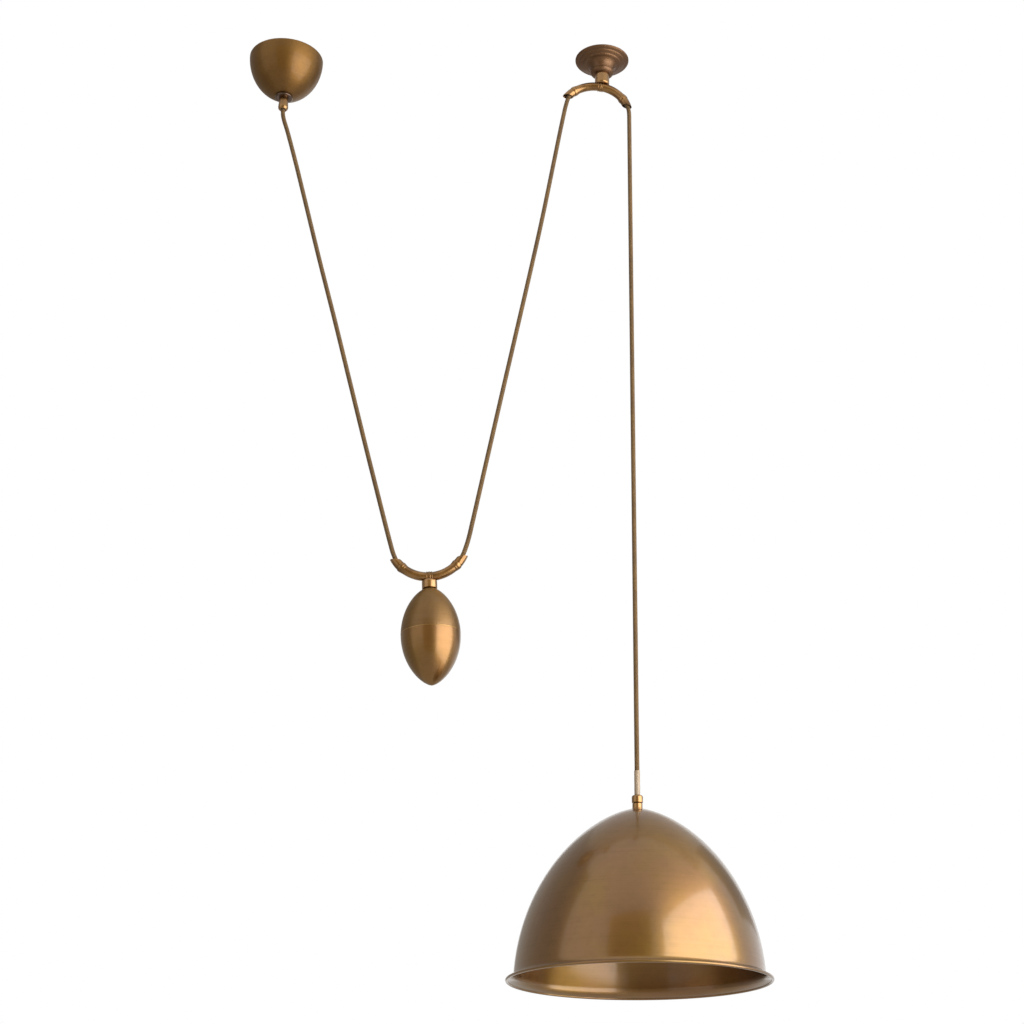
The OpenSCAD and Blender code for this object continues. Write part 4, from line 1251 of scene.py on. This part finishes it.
# %% Tones, dark, warm and light, as the photograph shows them
AGED = (srgb(108, 78, 40), srgb(134, 97, 57), srgb(136, 102, 48))
EGG_TONES = (AGED[0], srgb(128, 98, 62), AGED[2])
# painted shade: the canopy is the same aged brass as the shade, but its tones are darker for the darker surroundings
# that it mirrors
CANOPY_TONES_WITH_PAINTED_SHADE = (srgb(96, 65, 31), srgb(120, 86, 45), srgb(126, 92, 45))
CUP_TONES = (srgb(86, 61, 46), srgb(114, 83, 62), srgb(120, 89, 62))
FLANGE_TONES = (srgb(60, 42, 30), srgb(84, 60, 44), srgb(96, 70, 50))
RAW = (srgb(112, 80, 42), srgb(142, 104, 54), srgb(160, 119, 70))
SEAM_TONES = (RAW[1], srgb(176, 136, 80), srgb(196, 158, 100))

# %% [markdown]
# ## One finish for each axis
# The rings of a turned piece run round its own axis, so pieces on different axes can't share a
# material. The large spun pieces have old lacquer. The small turned ones are handled more, so
# they are smoother and lighter.

# %% Finishes of the turned pieces
HOOK_AXIS = ((0, 0, 0), 0)
CANOPY_AXIS = ((CANOPY_X, 0, 0), 0)
DOME_AXIS = ((SHADE_X, 0, -1.5), 0)
GRIP_AXIS = ((SHADE_X, 0, 0), 0)
EGG_AXIS = (tuple(WEIGHT_CROWN), -WEIGHT_TILT)
finishes = {
    "shade": old_brass("aged_brass_shade", DOME_AXIS, AGED, rough=0.35, streak=0.6),
    "canopy": old_brass("aged_brass_canopy", CANOPY_AXIS, CANOPY_TONES_WITH_PAINTED_SHADE, rough=0.5, brush=0.6, coat=0.2),
    "egg_top": old_brass("aged_brass_egg_top", EGG_AXIS, EGG_TONES, rough=0.48, brush=0.9, coat=0.2),
    "egg_low": old_brass("aged_brass_egg_low", EGG_AXIS, AGED, rough=0.36, coat=0.4),
    "cup": old_brass("bronze_cup", HOOK_AXIS, CUP_TONES, rough=0.54, coat=0.15),
    "flange": old_brass("bronze_flange", CANOPY_AXIS, FLANGE_TONES, rough=0.34),
    "seam": old_brass("raw_brass_seam", EGG_AXIS, SEAM_TONES, coat=0.3),
    "neck": old_brass("raw_brass_neck", HOOK_AXIS, RAW, rough=0.26),
    "collar": old_brass("raw_brass_collar", EGG_AXIS, RAW, rough=0.26),
    "shade_grip": old_brass("raw_brass_shade_grip", GRIP_AXIS, RAW, rough=0.26),
    "canopy_grip": old_brass("raw_brass_canopy_grip", CANOPY_AXIS, RAW, rough=0.28),
}
print("finishes round an axis:", ", ".join(finishes))


# %% [markdown]
# ## Bright tube
# The bent tubes were polished along their length and have less lacquer, so they are lighter, with
# peach highlights. Their streaks run along the bend: the pattern turns with the angle round the
# centre of the bend instead of round an upright axis.


# %% Polished bent tube
def bent_brass(name, centre, tilt):
    """Brass with polishing lines along a bend about a centre."""
    start, close = new_finish(name)
    local, x, y, z = local_axes(start, centre, tilt)
    reach = (x * x + z * z) ** 0.5
    along = start.node("CombineXYZ", {}, {0: x / reach * 2.5, 1: z / reach * 2.5, 2: y * 1500})
    lines = start.node("TexNoise", {"noise_dimensions": "4D"},
                       {"Vector": along, "W": reach * 1500, "Scale": 1.0, "Detail": 2.0})
    cloud = start.node("TexNoise", {}, {"Vector": local, "Scale": 45.0, "Detail": 3.0})
    colour = tint(RAW[0], RAW[2], ease(cloud * 0.7 + lines * 0.3, 0.34, 0.66))
    bump = start.node("Bump", {}, {"Strength": 0.1, "Distance": 0.02 * MM, "Height": lines})
    return close({"Base Color": colour, "Roughness": 0.26 + (lines - 0.5) * 0.1 + (cloud - 0.5) * 0.1,
                  "Normal": bump},
                 {"Metallic": 1.0, "Coat Weight": 0.5, "Coat Roughness": 0.08})


finishes["arch"] = bent_brass("raw_brass_arch", tuple(to_arch.translation), ARCH_TILT)
finishes["smile"] = bent_brass("raw_brass_smile", tuple(to_smile.translation), -WEIGHT_TILT)
print("finishes along a bend:", finishes["arch"].name, finishes["smile"].name)

# %% [markdown]
# ## Braided flex
# The flex is covered in twisted gold-brown yarn. Two families of diagonals cross on its surface.
# Where the yarn lies low, in the gaps and under the crossing strand, it is darkened as painted
# shade, so each looks brighter where it passes over the other. The pattern reads the tube's own
# UV map: U once round, V in metres, so the weave keeps its size on every stretch.

# %% Flex finish
STRANDS = 12
LAY = 0.014
WEAVE_TURN = STRANDS * 2 * math.pi


def braid(name):
    """Two crossing families of yarn, each on top in every other square."""
    start, close = new_finish(name)
    uv = start.node("UVMap", {"uv_map": "UVMap"})
    u = uv.node("SeparateXYZ", {}, {0: uv})
    v = u.out("Y")
    turns = v / LAY
    left = ((u + turns) * STRANDS).math("FRACT")
    right = ((u - turns) * STRANDS).math("FRACT")
    left_over = 1 - (left * 2 - 1).math("ABSOLUTE") ** 2
    right_over = 1 - (right * 2 - 1).math("ABSOLUTE") ** 2
    weave = (u * WEAVE_TURN).math("SINE") * (turns * WEAVE_TURN).math("SINE")
    pick = ease(weave, -0.15, 0.15)
    height = left_over * pick + right_over * (1 - pick)
    fibre_place = start.node("CombineXYZ", {}, {0: u * 90, 1: v * 1400, 2: pick * 3})
    fibre = start.node("TexNoise", {}, {"Vector": fibre_place, "Scale": 1.0, "Detail": 3.0})
    here = start.node("TexCoord", output="Object")
    wear = start.node("TexNoise", {}, {"Vector": here, "Scale": 30.0, "Detail": 2.0})
    yarn = tint(srgb(86, 60, 24), srgb(120, 88, 38), ease(fibre * 0.7 + wear * 0.3, 0.34, 0.66))
    # painted shade: where the yarn lies low, between and under the strands, its colour runs to near-black
    colour = tint(srgb(40, 27, 14), yarn, ease(height, 0.15, 0.75))
    bump = start.node("Bump", {}, {"Strength": 0.8, "Distance": 0.4 * MM, "Height": height + fibre * 0.25})
    return close({"Base Color": colour, "Roughness": 0.7 + (fibre - 0.5) * 0.2, "Normal": bump},
                 {"Sheen Weight": 0.25, "Sheen Roughness": 0.4})


finishes["flex"] = braid("braided_flex")
print("one turn of a strand takes", round(LAY / MM), "mm of flex")


# %% [markdown]
# ## The finishes inside
# Hidden hardware gets its own finish too, because the part is seen from every side: zinc-plated
# steel with a faint crystalline mottle, sand-cast iron, glazed porcelain with a few specks, a
# moulded terminal block and the clear sleeve on the flex. All are two tones of one grain.


# %% Plain finishes with their own grain
def mottled(name, low, high, scale, rough, spread, bump_depth, constants, stretch=(1, 1, 1)):
    """Two tones in a grain of a scale; rough is in the middle of a spread, the bump in metres."""
    start, close = new_finish(name)
    here = start.node("TexCoord", output="Object")
    spot = start.node("Mapping", {}, {"Vector": here, "Scale": stretch})
    grain = start.node("TexNoise", {}, {"Vector": spot, "Scale": scale, "Detail": 5.0, "Roughness": 0.6})
    broad = start.node("TexNoise", {}, {"Vector": spot, "Scale": scale / 9, "Detail": 2.0})
    mask = ease(grain * 0.6 + broad * 0.4, 0.35, 0.65)
    bump = start.node("Bump", {}, {"Strength": 0.4, "Distance": bump_depth, "Height": grain})
    return close({"Base Color": tint(low, high, mask), "Roughness": rough + (mask - 0.5) * spread,
                  "Normal": bump}, constants)


finishes["steel"] = mottled("zinc_steel", srgb(150, 150, 146), srgb(196, 195, 188), 500, 0.36, 0.16,
                            0.03 * MM, {"Metallic": 1.0})
finishes["iron"] = mottled("cast_iron", srgb(58, 58, 60), srgb(96, 95, 96), 700, 0.62, 0.2, 0.3 * MM,
                           {"Metallic": 0.9})
finishes["porcelain"] = mottled("porcelain", srgb(226, 222, 212), srgb(240, 238, 230), 160, 0.14, 0.08,
                                0.02 * MM, {"Coat Weight": 0.6, "Coat Roughness": 0.05})
finishes["terminal"] = mottled("terminal_plastic", srgb(218, 215, 204), srgb(232, 230, 220), 900, 0.45,
                               0.12, 0.04 * MM, {})
finishes["earth"] = mottled("earth_green", srgb(38, 104, 48), srgb(62, 132, 66), 400, 0.4, 0.15,
                            0.03 * MM, {"Metallic": 0.2})
finishes["sleeve"] = mottled("clear_sleeve", srgb(186, 162, 132), srgb(206, 184, 156), 120, 0.24, 0.14,
                             0.03 * MM, {"Transmission Weight": 0.3, "IOR": 1.42}, (1, 1, 0.2))
print("finishes in all:", len(finishes))

# %% [markdown]
# ## Dressing the pieces
# Every piece made above gets the finish of its own axis. The frame's plain nodes that stay, such
# as screws and nuts, take theirs from the slot that the record gives them.


# %% Give a piece its finish
def paint(piece, finish):
    """Give a piece one finish on all its faces."""
    piece.data.materials.clear()
    piece.data.materials.append(finishes[finish])
    piece.data.polygons.foreach_set("material_index", [0] * len(piece.data.polygons))


# %% The pieces made here
own_finish = {
    "dome_shade": "shade", "spun_canopy": "canopy", "canopy_ring": "flange", "trumpet_cup": "cup",
    "ring_nut": "cup", "arch_guide_tube": "arch", "arch_mouth_left": "arch", "arch_mouth_right": "arch",
    "weight_guide_tube": "smile", "weight_mouth_left": "smile", "weight_mouth_right": "smile",
    "neck_sleeve": "neck", "egg_collar": "collar", "egg_upper_shell": "egg_top",
    "egg_lower_shell": "egg_low", "seam_ring": "seam", "grip_base": "shade_grip",
    "grip_top_cap": "shade_grip", "clear_tube": "sleeve", "canopy_grip": "canopy_grip",
    "holder_cap": "shade_grip", "holder_skirt": "shade_grip", "porcelain_core": "porcelain",
    "rolled_thread": "shade_grip", "arch_ring": "arch", "weight_ring": "smile",
    **{"braided_" + name: "flex" for name in (*stretches, *hidden)},
}
for name, finish in own_finish.items():
    paint(bpy.data.objects[name], finish)
print(len(own_finish), "pieces made here are dressed")

# %% The plain nodes that stay
slot_finish = {"aged_brass": "shade", "raw_brass": "neck", "bronze": "cup", "zinc_steel": "steel",
               "cast_iron": "iron", "braided_flex": "flex", "clear_sleeve": "sleeve",
               "porcelain": "porcelain", "terminal_plastic": "terminal", "earth_green": "earth"}
node_finish = {"terminal_screws": "canopy_grip", "canopy_side_screws": "canopy_grip",
               "shade_nipple": "shade_grip", "lamp_contact": "shade_grip"}
for row in frame["record"]["subparts"]:
    name = row["node"]
    node = frame["nodes"][name]
    if not node.hide_render:
        finish = node_finish.get(name, slot_finish[row["material_slot"]])
        paint(node, finish)
        print(name, "stays plain and wears", finish)

# %% [markdown]
# ## Light
# Polished metal shows the room more than it shows itself, so the room is set like a product
# photographer's table. One large soft box stands at the right front, and two weaker ones, which
# reflections don't see, fill in from above and behind.


# %% Soft boxes
def soft_box(name, location, target, width, height, radiance, mirrored=True):
    """A rectangle of even light; Blender shares its watts over four times its area."""
    data = bpy.data.lights.new(name, "AREA")
    data.shape = "RECTANGLE"
    data.size = width
    data.size_y = height
    data.energy = 4 * width * height * radiance
    lamp = bpy.data.objects.new(name, data)
    lamp.location = location
    lamp.visible_glossy = mirrored
    lamp.rotation_euler = (Vector(target) - Vector(location)).to_track_quat("-Z", "Y").to_euler()
    bpy.context.scene.collection.objects.link(lamp)
    print(name, round(data.energy), "W")


soft_box("key_box", (1.78, -1.4, -1.1), (-0.58, -0.55, -1.1), 3.4, 3.0, 2.9)
soft_box("top_box", (-0.2, -0.6, 1.9), (-0.2, -0.2, -1), 2.4, 2.0, 1.6, mirrored=False)
soft_box("back_box", (-1.4, 2.4, -0.6), (-0.2, 0, -0.9), 2.2, 2.2, 1.4, mirrored=False)

# %% [markdown]
# ## Grey flats
# In a white room brass looks like paint. Four grey cards, which only reflections see, give it the
# darker bands it needs: behind the camera, on the left, at the right rear and above the back.
# They glow evenly and throw no shadow.


# %% Grey flats
def flat(name, centre, facing, width, height, colour):
    """A card with an even glow that only reflections see."""
    start_clean()
    bpy.ops.mesh.primitive_plane_add(size=1, location=centre)
    card = bpy.context.object
    card.name = name
    card.rotation_euler = Vector(facing).to_track_quat("Z", "Y").to_euler()
    card.scale = (width, height, 1)
    card.visible_camera = False
    card.visible_diffuse = False
    card.visible_transmission = False
    card.visible_shadow = False
    material = bpy.data.materials.new(name)
    paper = blank(material)
    even = paper.node("Emission", {}, {"Color": colour, "Strength": 1.0})
    paper.node("OutputMaterial", {}, {"Surface": even})
    card.data.materials.append(material)
    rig.stage(card)
    print(name, "is", width, "by", height, "m")


flat("front_flat", (-0.62, -3.3, -0.8), (0, 1, 0), 2.5, 3.8, srgb(196, 178, 138))
flat("left_flat", (-1.9, 1.95, -0.35), (0.964, -0.265, 0), 5.3, 4.6, srgb(170, 166, 160))
flat("right_flat", (2.4, 3.0, 0.7), (-1, 0, 0), 3.0, 2.2, srgb(150, 144, 136))
flat("ceiling_flat", (-1, 2.6, 2.0), (0, 0, -1), 8, 4.8, srgb(203, 200, 196))

# %% [markdown]
# ## World and floor
# The background is plain white, but a white world alone would light everything from all sides.
# So it is bright where it is seen, directly or in a reflection, and weak as a light. The floor is
# pale and mostly an even glow, so that it keeps a soft shadow without a hard edge of light.


# %% World
ROOM_LIGHT = 0.35


def seen_directly(start):
    """1 for what the camera, a reflection or clear stuff sees, 0 for the light that falls on things."""
    ray = start.node("LightPath")
    return start.math("MAXIMUM", start.math("MAXIMUM", ray, ray.out("Is Glossy Ray")),
                      ray.out("Is Transmission Ray"))


world = bpy.data.worlds.new("studio")
bpy.context.scene.world = world
sky = blank(world)
strength = ROOM_LIGHT + seen_directly(sky) * (1 - ROOM_LIGHT)
glow = sky.node("Background", {}, {"Color": (1, 1, 1, 1), "Strength": strength})
sky.node("OutputWorld", {}, {"Surface": glow})
print("the world lights with", ROOM_LIGHT, "of the white that is seen")

# %% Floor
FLOOR_Z = -2.7
FLOOR_SIZE = 14
FLOOR_GLOW = 0.85
start_clean()
bpy.ops.mesh.primitive_plane_add(size=FLOOR_SIZE, location=(0, 0, FLOOR_Z))
floor = bpy.context.object
floor.name = "floor"
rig.stage(floor)
material = bpy.data.materials.new("pale_floor")
ground = blank(material)
dust = ground.node("TexNoise", {}, {"Vector": ground.node("TexCoord", output="Object"), "Scale": 3.0})
lit = ground.node("BsdfDiffuse", {}, {"Color": tint(srgb(228, 226, 222), srgb(238, 236, 233), dust)})
even = ground.node("Emission", {}, {"Color": srgb(214, 213, 210), "Strength": 1.0})
mixed = ground.node("MixShader", {}, {0: seen_directly(ground) * FLOOR_GLOW, 1: lit, 2: even})
ground.node("OutputMaterial", {}, {"Surface": mixed})
floor.data.materials.append(material)
print("floor", round(floor.dimensions.x, 1), "m across,", -FLOOR_Z, "m below the ceiling")

# %% Save the sizes and finish
with open("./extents.json", "w") as out:
    json.dump({"cad": cad_box, "visual": [list(corner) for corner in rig.bounds()]}, out)
